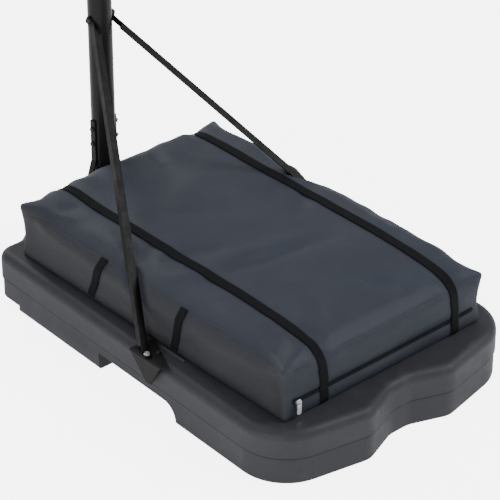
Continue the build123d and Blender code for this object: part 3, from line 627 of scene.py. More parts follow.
def dress_bag(points, places, counts, low, high, settings):
    """Crown, ears, strap grooves, folds and uneven edges of the filled bag."""
    size = high - low
    share = np.clip((points - low) / size, 0, 1)
    x_in = np.minimum(share[:, 0], 1 - share[:, 0]) * size[0]
    y_in = np.minimum(share[:, 1], 1 - share[:, 1]) * size[1]
    lattice = places / np.array(counts)
    lid = lattice[:, 2] > 0.999
    upper = np.clip((share[:, 2] - 0.45) / 0.5, 0, 1) ** 1.5
    out = points.copy()
    arch = (1 - (2 * share[:, 0] - 1) ** 4) * (1 - (2 * share[:, 1] - 1) ** 4)
    rise = np.where(lid, settings.crown * arch, 0)
    # Heights in metres: the corners at the two ends, then the edges that lift at the pole end and one side.
    pole_ear, far_ear, end_lift, side_lift = 0.015, 0.005, 0.026, 0.021
    ear = hump(x_in, 0.040) * hump(y_in, 0.040)
    rise += upper * ear * np.where(share[:, 1] < 0.5, pole_ear, far_ear)
    rise += upper * end_lift * hump(share[:, 1] * size[1], 0.11) * (1 - 0.8 * hump(x_in, 0.075))
    rise += upper * side_lift * hump(share[:, 0] * size[0], 0.09) * (1 - 0.8 * hump(y_in, 0.10))
    slow, fast = wobble(points, 0.15, 3.1), wobble(points, 0.055, 8.4)
    edge = hump(np.minimum(x_in, y_in), 0.04)
    rise += upper * (slow * 0.004 + fast * 0.0012 + edge * (slow * 0.007 + fast * 0.0035))
    # Under each strap, a groove that deepens at the ends, and the cloth that bulges beside it.
    flat_depth, end_depth, bulge = 0.0035, 0.009, 0.004
    for x in strap_lines():
        groove = hump(points[:, 0] - x, 0.020)
        rise -= upper * groove * (flat_depth + end_depth * hump(y_in, 0.06))
        beside = hump(np.abs(points[:, 0] - x) - 0.045, 0.022)
        rise += upper * beside * bulge * hump(y_in, 0.08)
    plan = lattice[:, :2] * size[:2]
    calm = settings.fold * (1 - 0.75 * sum(hump(points[:, 0] - x, 0.034) for x in strap_lines()))
    for start, stop, width, depth in FOLDS:
        gap, along = segment_distance(plan, np.array(start) * size[:2], np.array(stop) * size[:2])
        reach = np.where(lid, 1.0, upper * 0.6) * np.sin(np.pi * np.clip(along, 0.12, 0.88))
        rise += calm * depth * reach * hump(gap, width)
    out[:, 2] += rise
    wall = np.sin(np.pi * np.clip(share[:, 2], 0, 1))
    centre = (low + high) / 2
    for axis, inside, other in ((0, x_in, y_in), (1, y_in, x_in)):
        side = np.sign(points[:, axis] - centre[axis])
        belly = 0.006 * (1 - hump(other, 0.13)) - 0.005 * hump(other - 0.02, 0.05)
        push = hump(inside, 0.03) * wall * (belly + slow * 0.005 + fast * 0.0022)
        push += hump(inside, 0.02) * upper * ear * 0.005
        out[:, axis] += side * push
    return out


def strut_lines():
    """The two struts' centre lines, from the pole to the plates."""
    lines = []
    for node, side in (("strut_right", 1), ("strut_left", -1)):
        low, high = box_of(node)
        inner, outer = (low.x, high.x) if side > 0 else (high.x, low.x)
        head = np.array([inner + side * 0.004, low.y + 0.0115, high.z - 0.0115])
        foot = np.array([outer - side * 0.013, high.y - 0.022, low.z + 0.010])
        lines.append((head, foot, side))
    return lines


def press_in_struts(points):
    """Presses the cloth in where each strut lies across the bag's upper edge."""
    flat, depth, rise, slope = 0.008, 0.019, 0.034, 0.10
    tall, wide = 0.075, 0.09
    out = points.copy()
    for head, foot, side in strut_lines():
        line = foot - head
        along = np.clip(((out - head) @ line) / (line @ line), 0, 1)
        away = out - (head + along[:, None] * line)
        outward = np.array([side * 0.82, 0.0, 0.57])
        height = away @ outward
        across = np.sqrt(np.maximum((away ** 2).sum(axis=1) - height ** 2, 0))
        rebound = 0.034 if side > 0 else 0.024
        fade = np.exp(-(np.maximum(across - flat, 0) / rebound) ** 2)
        allowed = -depth + rise * (1 - fade) + across * slope
        over = np.maximum(height - allowed, 0)
        reach = (np.abs(height) < tall) & (across < wide)
        out -= np.where(reach, over, 0)[:, None] * outward
    return out


def hold_zip(points, top):
    """Draws the far wall back to a straight line where the zip is sewn in."""
    low, high = box_of("zip_tape")
    behind, width, most = 0.0012, 0.020, 0.02
    line = low.y - behind
    near = hump(points[:, 2] - (low.z + high.z) / 2, width) * (points[:, 2] < top)
    out = points.copy()
    out[:, 1] -= near * np.clip(points[:, 1] - line, 0, most)
    return out


BAG = {}


def make_bag():
    """The bag's shell, kept for the trims that lie on it."""
    settings = bpy.context.scene.hoop_bag
    low, high = (np.array(corner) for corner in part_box("bag_cover"))
    high[2] = low[2] + settings.welt
    low[2] += 0.0006
    low[:2] += settings.inset
    high[:2] -= settings.inset
    counts = tuple(int(round(s / settings.step)) for s in (high - low))
    points, faces, places = bag_lattice(low, high, counts)
    points = soft_box(points, low, high, ear=0.010, roll=settings.roll)
    piece = mesh_from("ballast_bag", points, faces, "fabric")
    lattice = places / np.array(counts)
    from_middle = np.abs(lattice - 0.5)
    corner = (from_middle[:, 0] > 0.47) & (from_middle[:, 1] > 0.475) & (lattice[:, 2] > 0.8)
    wall_foot = lattice[:, 2] < 0.09
    pins = np.where(wall_foot, 1.0, np.where(corner, 0.9, 0.0))
    swell(piece, settings, pins)
    dressed = dress_bag(points_of(piece.data), places, counts, low, high, settings)
    dressed = press_in_struts(dressed)
    dressed = hold_zip(dressed, high[2] - 0.02)
    dressed[:, 2] = np.maximum(dressed[:, 2], low[2])
    set_points(piece, dressed)
    write_uv(piece, places, counts, low, high)
    subdivide(piece, 1)
    surface = points_of(piece.data)
    tree = BVHTree.FromPolygons([tuple(p) for p in surface], [tuple(f.vertices) for f in piece.data.polygons])
    BAG.update(low=low, high=high, tree=tree)
    return piece


def subdivide(piece, levels):
    modifier = piece.modifiers.new("smooth", "SUBSURF")
    modifier.levels = levels
    modifier.render_levels = levels
    bake_modifiers(piece)


def write_uv(piece, places, counts, low, high):
    """UVs in metres, taken flat off each side of the box that the bag starts as."""
    points = np.array(low) + places / np.array(counts) * (np.array(high) - np.array(low))
    layer = piece.data.uv_layers.new(name="UVMap")
    for face in piece.data.polygons:
        ids = list(face.vertices)
        spread = np.ptp(points[ids], axis=0)
        flat = int(np.argmin(spread))
        axes = [a for a in range(3) if a != flat]
        for loop, vertex in zip(face.loop_indices, ids):
            layer.data[loop].uv = points[vertex][axes]


class HOOP_OT_bag(bpy.types.Operator):
    """Build the ballast bag's fabric shell"""

    bl_idname = "hoop.bag"
    bl_label = "Ballast bag"

    def execute(self, context):
        piece = make_bag()
        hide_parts("bag_cover")
        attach(piece, "base")
        return {"FINISHED"}


# ---------------------------------------------------------------- trims that lie on the bag
def drop_on_bag(origin, direction, lift):
    """Where a ray meets the cloth, moved back towards the start by lift."""
    hit = BAG["tree"].ray_cast(Vector(origin), Vector(direction))[0]
    if hit is None:
        raise RuntimeError(f"no bag under {tuple(origin)}")
    return hit - Vector(direction) * lift


def clear_of_bag(point, lift):
    """The point itself, or the nearest one that stands off the cloth."""
    near, normal, _, _ = BAG["tree"].find_nearest(Vector(point))
    short = lift - (Vector(point) - near).dot(normal)
    return np.array(point) + np.array(normal) * max(short, 0.0)


def wrap_path(half_span, middle, low_z, high_z, radius, step):
    """An upside-down U in a vertical plane: (place along the span, height, inward direction)."""
    out = []
    reach, rise = half_span - radius, high_z - radius
    count = max(2, int((rise - low_z) / step))
    out += [(-half_span, low_z + (rise - low_z) * i / count, (1.0, 0.0)) for i in range(count)]
    arcs = 9
    for i in range(arcs):
        turn = math.pi / 2 * i / arcs
        c, s = radius * math.cos(turn), radius * math.sin(turn)
        out.append((-reach - c, rise + s, (math.cos(turn), -math.sin(turn))))
    count = max(2, int(2 * reach / step))
    out += [(-reach + 2 * reach * i / count, high_z, (0.0, -1.0)) for i in range(count)]
    for i in range(arcs):
        turn = math.pi / 2 * i / arcs
        c, s = radius * math.cos(turn), radius * math.sin(turn)
        out.append((reach + s, rise + c, (-math.sin(turn), -math.cos(turn))))
    count = max(2, int((rise - low_z) / step))
    out += [(half_span, rise - (rise - low_z) * i / count, (-1.0, 0.0)) for i in range(count + 1)]
    return [(middle + a, z, d) for a, z, d in out]


def smooth_rows(rows, passes):
    for _ in range(passes):
        inner = (rows[:-2] + 2 * rows[1:-1] + rows[2:]) / 4
        rows = np.concatenate([rows[:1], inner, rows[-1:]])
    return rows


def strip_mesh(name, rows, thickness, finish, lift_axis):
    """A flat strip with real thickness from rows of points across it, and UVs in metres."""
    count, wide = rows.shape[0], rows.shape[1]
    top = rows + lift_axis * thickness
    verts = np.concatenate([rows.reshape(-1, 3), top.reshape(-1, 3)])
    total = count * wide
    along = np.concatenate([[0], np.cumsum(np.linalg.norm(np.diff(rows[:, wide // 2], axis=0), axis=1))])
    across = np.concatenate([[0], np.cumsum(np.linalg.norm(np.diff(rows[0], axis=0), axis=1))])
    faces = []

    def at(i, j, level):
        return level * total + i * wide + j

    for i in range(count - 1):
        for j in range(wide - 1):
            faces.append((at(i, j, 1), at(i + 1, j, 1), at(i + 1, j + 1, 1), at(i, j + 1, 1)))
            faces.append((at(i, j, 0), at(i, j + 1, 0), at(i + 1, j + 1, 0), at(i + 1, j, 0)))
        for j in (0, wide - 1):
            faces.append((at(i, j, 0), at(i + 1, j, 0), at(i + 1, j, 1), at(i, j, 1)))
    for j in range(wide - 1):
        for i in (0, count - 1):
            faces.append((at(i, j, 0), at(i, j + 1, 0), at(i, j + 1, 1), at(i, j, 1)))
    piece = mesh_from(name, verts, faces, finish)
    outward(piece)
    layer = piece.data.uv_layers.new(name="UVMap")
    for loop in piece.data.loops:
        i, j = divmod(loop.vertex_index % total, wide)
        layer.data[loop.index].uv = (across[j], along[i])
    return piece


def lay_strip(name, samples, wide_axis, width, thickness, finish, passes=6, lift=0.0012):
    """Lays a strip on the bag: samples are (origin, direction) of rays that look for the cloth."""
    steps = 5
    rows, ups = [], []
    for origin, direction in samples:
        row = []
        for k in range(steps):
            shift = Vector(wide_axis) * width * (k / (steps - 1) - 0.5)
            row.append(drop_on_bag(Vector(origin) + shift, direction, lift))
        rows.append(row)
        ups.append([-Vector(direction)] * steps)
    rows = smooth_rows(np.array(rows), passes)
    ups = smooth_rows(np.array(ups), 2)
    ups /= np.linalg.norm(ups, axis=2, keepdims=True)
    for spot in np.ndindex(rows.shape[:2]):
        rows[spot] = clear_of_bag(rows[spot], lift)
    return strip_mesh(name, rows, thickness, finish, ups)


def cover_strap_samples(node):
    low, high = box_of(node)
    middle = (low.y + high.y) / 2
    half = (high.y - low.y) / 2
    x = (low.x + high.x) / 2
    bottom = BAG["low"][2] + 0.004
    outside, above = 0.02, 0.05
    path = wrap_path(half + outside, middle, bottom, BAG["high"][2] + above, radius=0.07, step=0.012)
    return [((x, y, z), (0.0, d[0], d[1])) for y, z, d in path]


def side_strap_samples(node):
    """Up the wall, over the welt, with a small lean as the webbing is sewn in."""
    low, high = box_of(node)
    side = 1 if low.x > 0 else -1
    y = (low.y + high.y) / 2
    bottom, top = BAG["low"][2] + 0.012, BAG["high"][2] - 0.010
    lean = 0.034 if y < 0.5 else 0.014
    outside, steps = 0.42, 14
    out = []
    for i in range(steps + 1):
        share = i / steps
        z = bottom + (top - bottom) * share
        out.append(((side * outside, y + lean * (share - 0.5), z), (-side, 0.0, 0.0)))
    return out


class HOOP_OT_straps(bpy.types.Operator):
    """Lay the webbing over the bag"""

    bl_idname = "hoop.straps"
    bl_label = "Webbing"

    def execute(self, context):
        trim = context.scene.hoop_trim
        size = (trim.web_width, trim.web_thick)
        for node in LONG_STRAPS:
            samples = cover_strap_samples(node)
            piece = lay_strip("web_" + node, samples, (1, 0, 0), *size, "webbing", passes=14)
            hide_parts(node)
            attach(piece, "base")
        for node in SIDE_STRAPS:
            samples = side_strap_samples(node)
            piece = lay_strip("web_" + node, samples, (0, 1, 0), *size, "webbing", passes=2)
            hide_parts(node)
            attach(piece, "base")
        return {"FINISHED"}


def welt_loop(height, outward_lift):
    """Points round the bag at one height, found by looking inwards from outside."""
    low, high = BAG["low"], BAG["high"]
    centre = (low + high) / 2
    half = (high - low)[:2] / 2
    radius, outside, pitch, arcs = 0.03, 0.12, 0.014, 6
    reach = half - radius
    out = []
    corners = [(1, 1), (-1, 1), (-1, -1), (1, -1)]

    def corner(sx, sy):
        return Vector((centre[0] + sx * reach[0], centre[1] + sy * reach[1], height))

    for index, (sx, sy) in enumerate(corners):
        begin = math.atan2(sy, sx) - math.pi / 4
        for i in range(arcs + 1):
            turn = begin + math.pi / 2 * i / arcs
            away = Vector((math.cos(turn), math.sin(turn), 0))
            at = corner(sx, sy) + away * outside
            out.append(drop_on_bag(at, -away, outward_lift))
        a, b = corner(sx, sy), corner(*corners[(index + 1) % 4])
        away = Vector((math.cos(begin + math.pi / 2), math.sin(begin + math.pi / 2), 0))
        steps = int((b - a).length / pitch)
        for i in range(1, steps):
            out.append(drop_on_bag(a.lerp(b, i / steps) + away * outside, -away, outward_lift))
    return out


def sewn_runs(loop, clear):
    """The loop cut into the runs that lie between the straps."""
    flanks = [(box_of(n)[0] + box_of(n)[1]) / 2 for n in SIDE_STRAPS]
    half = (BAG["high"] - BAG["low"])[0] / 2 - 0.04
    runs, run = [], []
    for point in loop + loop[:1]:
        under = any(abs(point.x - x) < clear for x in strap_lines())
        beside = [at for at in flanks if point.x * at.x > half * abs(at.x)]
        under |= any(abs(point.y - at.y) < clear + 0.017 for at in beside)
        if not under:
            run.append(point)
            continue
        if len(run) > 1:
            runs.append(run)
        run = []
    return runs + [run] if len(run) > 1 else runs


def line_tree(name, numbers):
    """An empty node tree that takes lines and some numbers: the tree, and each number's identifier."""
    tree = bpy.data.node_groups.new(name, "GeometryNodeTree")
    tree.interface.new_socket("Geometry", in_out="INPUT", socket_type="NodeSocketGeometry")
    sockets = [tree.interface.new_socket(n, in_out="INPUT", socket_type="NodeSocketFloat") for n in numbers]
    tree.interface.new_socket("Geometry", in_out="OUTPUT", socket_type="NodeSocketGeometry")
    return tree, [socket.identifier for socket in sockets]


def add_node(tree, kind, **values):
    """One node, with the values of those inputs that stay fixed."""
    node = tree.nodes.new(kind)
    for key, value in values.items():
        node.inputs[key.replace("_", " ")].default_value = value
    return node


def wire(tree, wires):
    """Joins nodes: each wire is a node and its output, then a node and its input."""
    for source, output, target, entry in wires:
        tree.links.new(source.outputs[output], target.inputs[entry])


def instance_tree(name, template):
    """Geometry Nodes: copies a small template along the piece's edges at an even spacing."""
    tree, (pitch,) = line_tree(name, ["Pitch"])
    entry, leave = add_node(tree, "NodeGroupInput"), add_node(tree, "NodeGroupOutput")
    curve = add_node(tree, "GeometryNodeMeshToCurve")
    points = add_node(tree, "GeometryNodeCurveToPoints")
    points.mode = "LENGTH"
    info = add_node(tree, "GeometryNodeObjectInfo", Object=template)
    copies = add_node(tree, "GeometryNodeInstanceOnPoints")
    real = add_node(tree, "GeometryNodeRealizeInstances")
    wire(tree, [
        (entry, 0, curve, "Mesh"), (curve, 0, points, "Curve"), (entry, 1, points, "Length"),
        (points, "Points", copies, "Points"), (points, "Rotation", copies, "Rotation"),
        (info, "Geometry", copies, "Instance"), (copies, 0, real, 0), (real, 0, leave, 0),
    ])
    return tree, pitch


def template_block(name, size, bevel):
    """A small rounded block whose long axis is Z, used as a stitch or a tooth."""
    work = bmesh.new()
    bmesh.ops.create_cube(work, size=1.0)
    bmesh.ops.scale(work, vec=size, verts=work.verts)
    bmesh.ops.bevel(work, geom=work.edges, offset=bevel, segments=1, affect="EDGES")
    mesh = bpy.data.meshes.new(name)
    work.to_mesh(mesh)
    work.free()
    return bpy.data.objects.new(name, mesh)


def grow(name, mesh, tree, numbers, finish):
    """A piece grown from a mesh of lines by a node tree, kept as a plain mesh."""
    piece = place_object(name, mesh)
    modifier = piece.modifiers.new("grow", "NODES")
    modifier.node_group = tree
    for socket, value in numbers.items():
        modifier[socket] = value
    return give_finish(bake_modifiers(piece), finish)


def copies_along(name, lines, tree, socket, spacing, finish):
    """One piece of small copies along one or more polylines."""
    verts, edges = [], []
    for line in lines:
        first = len(verts)
        verts.extend(tuple(p) for p in line)
        edges.extend((first + i, first + i + 1) for i in range(len(line) - 1))
    mesh = bpy.data.meshes.new(name)
    mesh.from_pydata(verts, edges, [])
    return grow(name, mesh, tree, {socket: spacing}, finish)


class HOOP_OT_seams(bpy.types.Operator):
    """Sew the welts and the stitches"""

    bl_idname = "hoop.seams"
    bl_label = "Seams"

    def execute(self, context):
        trim = context.scene.hoop_trim
        top = BAG["high"][2]
        loop = welt_loop(top - 0.012, -0.0006)
        loop = [Vector(p) for p in smooth_rows(np.array(loop), 1)]
        piping = tube_along("lid_piping", loop, trim.piping, "piping", closed=True)
        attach(piping, "base")
        template = template_block("stitch", (0.0006, 0.0007, 0.0038), bevel=0.0002)
        tree, socket = instance_tree("stitch_run", template)
        runs = sewn_runs(welt_loop(top - 0.019, 0.0003), trim.web_width / 2 + 0.003)
        piece = copies_along("wall_stitches", runs, tree, socket, trim.stitch, "thread")
        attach(piece, "base")
        return {"FINISHED"}


class HOOP_OT_zip(bpy.types.Operator):
    """Fit the zip's tape and teeth"""

    bl_idname = "hoop.zip"
    bl_label = "Zip"

    def execute(self, context):
        trim = context.scene.hoop_trim
        low, high = box_of("zip_tape")
        z = (low.z + high.z) / 2
        steps = int((high.x - low.x) / 0.012)
        xs = [low.x + (high.x - low.x) * i / steps for i in range(steps + 1)]
        out = high.y + 0.1
        size = {"width": 0.013, "thickness": 0.0006}
        samples = [((x, out, z), (0.0, -1.0, 0.0)) for x in xs]
        tape = lay_strip("zip_tape_cloth", samples, (0, 0, 1), **size, finish="tape", passes=2, lift=0.0005)
        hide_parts("zip_tape")
        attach(tape, "base")
        line = [drop_on_bag((x, out, z), (0, -1, 0), lift=0.0014) for x in xs]
        template = template_block("tooth", (0.0052, 0.0012, 0.0014), bevel=0.0003)
        tree, socket = instance_tree("zip_run", template)
        teeth = copies_along("zip_teeth", [line], tree, socket, trim.tooth, "black_bolt")
        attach(teeth, "base")
        return {"FINISHED"}


# ---------------------------------------------------------------- net
def net_tree():
    """Geometry Nodes: turns the net's lines into round cord, with a knot at every crossing."""
    tree, sockets = line_tree("net_cord_tree", ["Cord radius", "Knot radius"])
    entry, leave = add_node(tree, "NodeGroupInput"), add_node(tree, "NodeGroupOutput")
    curve = add_node(tree, "GeometryNodeMeshToCurve")
    ring = add_node(tree, "GeometryNodeCurvePrimitiveCircle", Resolution=7)
    cord = add_node(tree, "GeometryNodeCurveToMesh", Fill_Caps=True)
    knots = add_node(tree, "GeometryNodeInstanceOnPoints")
    ball = add_node(tree, "GeometryNodeMeshIcoSphere", Subdivisions=2)
    chosen = add_node(tree, "GeometryNodeInputNamedAttribute", Name="knot")
    chosen.data_type = "BOOLEAN"
    join = add_node(tree, "GeometryNodeJoinGeometry")
    real = add_node(tree, "GeometryNodeRealizeInstances")
    smooth = add_node(tree, "GeometryNodeSetShadeSmooth")
    wire(tree, [
        (entry, 0, curve, "Mesh"), (entry, 1, ring, "Radius"),
        (curve, 0, cord, "Curve"), (ring, "Curve", cord, "Profile Curve"),
        (entry, 0, knots, "Points"), (entry, 2, ball, "Radius"), (ball, "Mesh", knots, "Instance"),
        (chosen, 0, knots, "Selection"), (cord, 0, join, 0), (knots, 0, join, 0),
        (join, 0, real, 0), (real, 0, smooth, "Geometry"), (smooth, 0, leave, 0),
    ])
    return tree, sockets


def net_radius(share, top, foot):
    """The net's outline: full at the ring, drawn in low down, and flared a little at the hem."""
    neck = top + (foot * 0.80 - top) * math.sin(math.pi / 2 * min(1.0, share / 0.78))
    flare = max(0.0, (share - 0.78) / 0.22)
    return neck + foot * 0.06 * flare ** 1.5


def net_lines(centre, top_z, low_z, top_r, foot_r, hooks, rows):
    """Points and edges of the hanging net, and which points carry a knot."""
    verts, edges, knots = [], [], []
    steps = 4
    index = {}

    def knot_at(row, place):
        key = (row, place % (2 * hooks))
        if key not in index:
            share = row / rows
            turn = math.pi * place / hooks + math.radians(15)
            radius = net_radius(share, top_r, foot_r)
            sway = 0.004 * noise.noise(Vector((row * 1.7, place * 0.9, 0.3)))
            drop = share ** 0.94
            stray = noise.noise(Vector((place * 1.3, row * 0.8, 5.2)))
            z = top_z + (low_z - top_z) * drop + 0.006 * stray * share
            radius += sway
            verts.append((centre.x + radius * math.cos(turn), centre.y + radius * math.sin(turn), z))
            knots.append(row > 0)
            index[key] = len(verts) - 1
        return index[key]

    def cord(a, b, sag):
        start, end = Vector(verts[a]), Vector(verts[b])
        last = a
        for i in range(1, steps):
            share = i / steps
            point = start.lerp(end, share)
            out = Vector((point.x - centre.x, point.y - centre.y, 0)).normalized()
            dip = sag * math.sin(math.pi * share)
            point += out * dip * 0.5 - Vector((0, 0, dip))
            verts.append(tuple(point))
            knots.append(False)
            edges.append((last, len(verts) - 1))
            last = len(verts) - 1
        edges.append((last, b))

    for row in range(rows):
        for place in range(row % 2, 2 * hooks, 2):
            here = knot_at(row, place)
            for side in LEFT_RIGHT:
                cord(here, knot_at(row + 1, place + side), 0.002)
    return verts, edges, knots


class HOOP_OT_net(bpy.types.Operator):
    """Knot the net and hang it from the ring"""

    bl_idname = "hoop.net"
    bl_label = "Net"

    def execute(self, context):
        hard = context.scene.hoop_hard
        low, high = box_of("net")
        centre = (low + high) / 2
        top_r = (high.x - low.x) / 2 + 0.006
        span = (high.z + 0.004, low.z + 0.006)
        foot_r, hooks = 0.165, 12
        verts, edges, knots = net_lines(centre, *span, top_r, foot_r, hooks, hard.net_rows)
        mesh = bpy.data.meshes.new("net_lines")
        mesh.from_pydata(verts, edges, [])
        flags = mesh.attributes.new("knot", "BOOLEAN", "POINT")
        flags.data.foreach_set("value", knots)
        tree, (cord, knot) = net_tree()
        piece = grow("net_cords", mesh, tree, {cord: hard.cord, knot: hard.cord * 1.9}, "net")
        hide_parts("net")
        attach(piece, "rim")
        return {"FINISHED"}


# ---------------------------------------------------------------- springs and board lines
class HOOP_OT_springs(bpy.types.Operator):
    """Wind the two rim springs"""

    bl_idname = "hoop.springs"
    bl_label = "Rim springs"

    def execute(self, context):
        low, high = box_of("rim_springs")
        wire, turns, sides = 0.0017, 7, 28
        radius = (high.z - low.z) / 2 - wire
        for number, side in enumerate(LEFT_RIGHT, 1):
            x = side * ((high.x - low.x) / 2 - (high.z - low.z) / 2)
            z = (high.z + low.z) / 2
            points = []
            for i in range(turns * sides + 1):
                turn = 2 * math.pi * i / sides
                y = low.y + wire + (high.y - low.y - 2 * wire) * i / (turns * sides)
                points.append((x + radius * math.cos(turn), y, z + radius * math.sin(turn)))
            piece = tube_along(f"rim_spring_{number}", points, wire, "spring")
            if number == 1:
                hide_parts("rim_springs")
            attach(piece, "mast")
            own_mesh(piece)
        return {"FINISHED"}


def frame_outline(name, x0, x1, z0, z1, width, y_front, thickness, finish):
    """A rectangular line painted on the board's face, as a thin raised film."""
    outer = [(x0, z0), (x1, z0), (x1, z1), (x0, z1)]
    x2, x3, z2, z3 = x0 + width, x1 - width, z0 + width, z1 - width
    inner = [(x2, z2), (x3, z2), (x3, z3), (x2, z3)]
    verts = [(x, y, z) for y in (y_front, y_front - thickness) for x, z in outer + inner]
    faces = []
    for i in range(4):
        j = (i + 1) % 4
        faces += [(i, j, 4 + j, 4 + i), (8 + i, 12 + i, 12 + j, 8 + j)]
        faces += [(i, 8 + i, 8 + j, j), (4 + i, 4 + j, 12 + j, 12 + i)]
    piece = mesh_from(name, verts, faces, finish, smooth=False)
    outward(piece)
    return piece


class HOOP_OT_board_lines(bpy.types.Operator):
    """Paint the border and the aiming square on the board"""

    bl_idname = "hoop.board_lines"
    bl_label = "Board lines"

    def execute(self, context):
        low, high = box_of("board_panel")
        _, ring_high = box_of("rim_ring")
        edge, half_square = 0.004, 0.2285
        line = {"width": 0.042, "y_front": low.y, "thickness": 0.0005, "finish": "paint"}
        border = frame_outline(
            "board_border", low.x + edge, high.x - edge, low.z + edge, high.z - edge, **line)
        base = ring_high.z - 0.005
        square = frame_outline("aiming_square", -half_square, half_square, base + 0.01, base + 0.36, **line)
        for piece in (border, square):
            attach(piece, "mast")
        return {"FINISHED"}


# ---------------------------------------------------------------- fasteners
# Node, the way its heads face, the finish, and the material slot.
FASTENERS = [
    ("strut_foot_bolts", (0, 0, 1), "zinc", "zinc_steel"),
    ("strut_plate_screws", (0, 0, 1), "black_bolt", "black_bolt"),
    ("foot_strap_screws", (0, 0, 1), "zinc", "zinc_steel"),
    ("foot_strap_bolts", (1, 0, 0), "black_bolt", "black_bolt"),
    ("strut_top_bolt", (1, 0, 0), "black_bolt", "black_bolt"),
    ("arm_cross_bolts", (1, 0, 0), "zinc", "zinc_steel"),
    ("arm_rail_bolts", (0, 1, 0), "zinc", "zinc_steel"),
    ("rim_bolts", (0, -1, 0), "zinc", "zinc_steel"),
    ("panel_screws", (0, -1, 0), "black_bolt", "black_bolt"),
]


def islands(node):
    """The corners of each separate solid in a CAD node."""
    work = bmesh.new()
    work.from_mesh(frame["nodes"][node].data)
    bmesh.ops.remove_doubles(work, verts=work.verts, dist=1e-6)
    seen, out = set(), []
    for start in work.verts:
        if start in seen:
            continue
        stack, group = [start], []
        seen.add(start)
        while stack:
            vertex = stack.pop()
            group.append(vertex.co.copy())
            for edge in vertex.link_edges:
                other = edge.other_vert(vertex)
                if other not in seen:
                    seen.add(other)
                    stack.append(other)
        out.append(np.array([tuple(p) for p in group]))
    work.free()
    return out


def bolt_mesh(verts, faces, xyz, axis):
    """Adds one bolt in place of a plain CAD one: a shank, a flange and a chamfered hexagon."""
    axis = Vector(axis)
    main = max(range(3), key=lambda a: abs(axis[a]))
    others = [a for a in range(3) if a != main]
    low, high = xyz.min(axis=0), xyz.max(axis=0)
    centre = (low + high) / 2
    top = high[main] if axis[main] > 0 else low[main]
    foot = low[main] if axis[main] > 0 else high[main]
    spread = (high - low)[others].max() / 2
    height_of = np.abs(xyz[:, main] - top)
    reach = np.hypot(xyz[:, others[0]] - centre[others[0]], xyz[:, others[1]] - centre[others[1]])
    head_height = height_of[reach > spread * 0.8].max()
    below = height_of > head_height + 1e-4
    shank = reach[below].max() if below.any() else spread * 0.5
    seat = top - axis[main] * head_height
    side_a, side_b = Vector((0, 0, 0)), Vector((0, 0, 0))
    side_a[others[0]], side_b[others[1]] = 1.0, 1.0
    base = Vector((0, 0, 0))
    base[others[0]], base[others[1]] = centre[others[0]], centre[others[1]]
    around = 24

    def ring(radius, level, hexagon):
        first = len(verts)
        for i in range(around):
            turn = 2 * math.pi * i / around
            reach_here = radius
            if hexagon:
                reach_here = radius * math.cos(math.pi / 6) / math.cos((turn % (math.pi / 3)) - math.pi / 6)
            point = base + (side_a * math.cos(turn) + side_b * math.sin(turn)) * reach_here
            point[main] = level
            verts.append(tuple(point))
        return first

    lift = axis[main] * head_height
    rings = [
        ring(shank, foot, False), ring(shank, seat, False), ring(spread, seat, False),
        ring(spread, seat + lift * 0.16, False), ring(spread * 0.92, seat + lift * 0.24, False),
        ring(spread * 0.88, seat + lift * 0.26, True), ring(spread * 0.88, seat + lift * 0.84, True),
        ring(spread * 0.76, top, False), ring(spread * 0.40, top, False),
        ring(spread * 0.34, top - lift * 0.10, False),
    ]
    for a, b in zip(rings, rings[1:]):
        for i in range(around):
            j = (i + 1) % around
            faces.append((a + i, a + j, b + j, b + i))
    faces.append(tuple(range(rings[0], rings[0] + around)))
    faces.append(tuple(range(rings[-1], rings[-1] + around)))


class HOOP_OT_fasteners(bpy.types.Operator):
    """Give every bolt a flanged, chamfered head"""

    bl_idname = "hoop.fasteners"
    bl_label = "Fasteners"

    def execute(self, context):
        for node, axis, finish, slot in FASTENERS:
            verts, faces = [], []
            for xyz in islands(node):
                bolt_mesh(verts, faces, xyz, axis)
            piece = mesh_from(node + "_detailed", verts, faces, finish, smooth=False)
            outward(piece)
            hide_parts(node)
            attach(piece, BODY_OF[node])
        return {"FINISHED"}


BODY_OF = {node: body for body, nodes in frame["record"]["behaviour"]["bodies"].items() for node in nodes}

# Which finish each CAD node that stays takes, by the record's material slot.
SLOT_FINISH = {
    "tank_hdpe": "tank", "cap_plastic": "cap", "seal_rubber": "seal", "wheel_plastic": "wheel",
    "zinc_steel": "zinc", "black_bolt": "black_bolt", "powder_black": "steel", "bracket_black": "plate",
    "bag_fabric": "fabric", "webbing": "webbing", "pouch_plastic": "sack", "zip_tape": "tape",
    "zip_metal": "bright", "board_clear": "clear", "rim_orange": "rim", "spring_steel": "spring",
    "net_cord": "net",
}
# The nodes whose finish isn't their slot's own.
NODE_FINISH = {"strut_right": "strut", "strut_left": "strut"}


class HOOP_OT_finishes(bpy.types.Operator):
    """Give every fixed part its finish"""

    bl_idname = "hoop.finishes"
    bl_label = "Finishes"

    def execute(self, context):
        slots = {s["node"]: s["material_slot"] for s in frame["record"]["subparts"]}
        for node, piece in frame["nodes"].items():
            finish = finishes()[NODE_FINISH.get(node, SLOT_FINISH[slots[node]])]
            if not piece.material_slots:
                piece.data.materials.append(finish)
            for holder in piece.material_slots:
                holder.material = finish
        return {"FINISHED"}


# ---------------------------------------------------------------- stage
def soft_light(name, place, target, size, power):
    data = bpy.data.lights.new(name, "AREA")
    data.shape = "DISK"
    data.size = size
    data.energy = power
    lamp = place_object(name, data)
    lamp.location = place
    lamp.rotation_euler = (Vector(target) - Vector(place)).to_track_quat("-Z", "Y").to_euler()


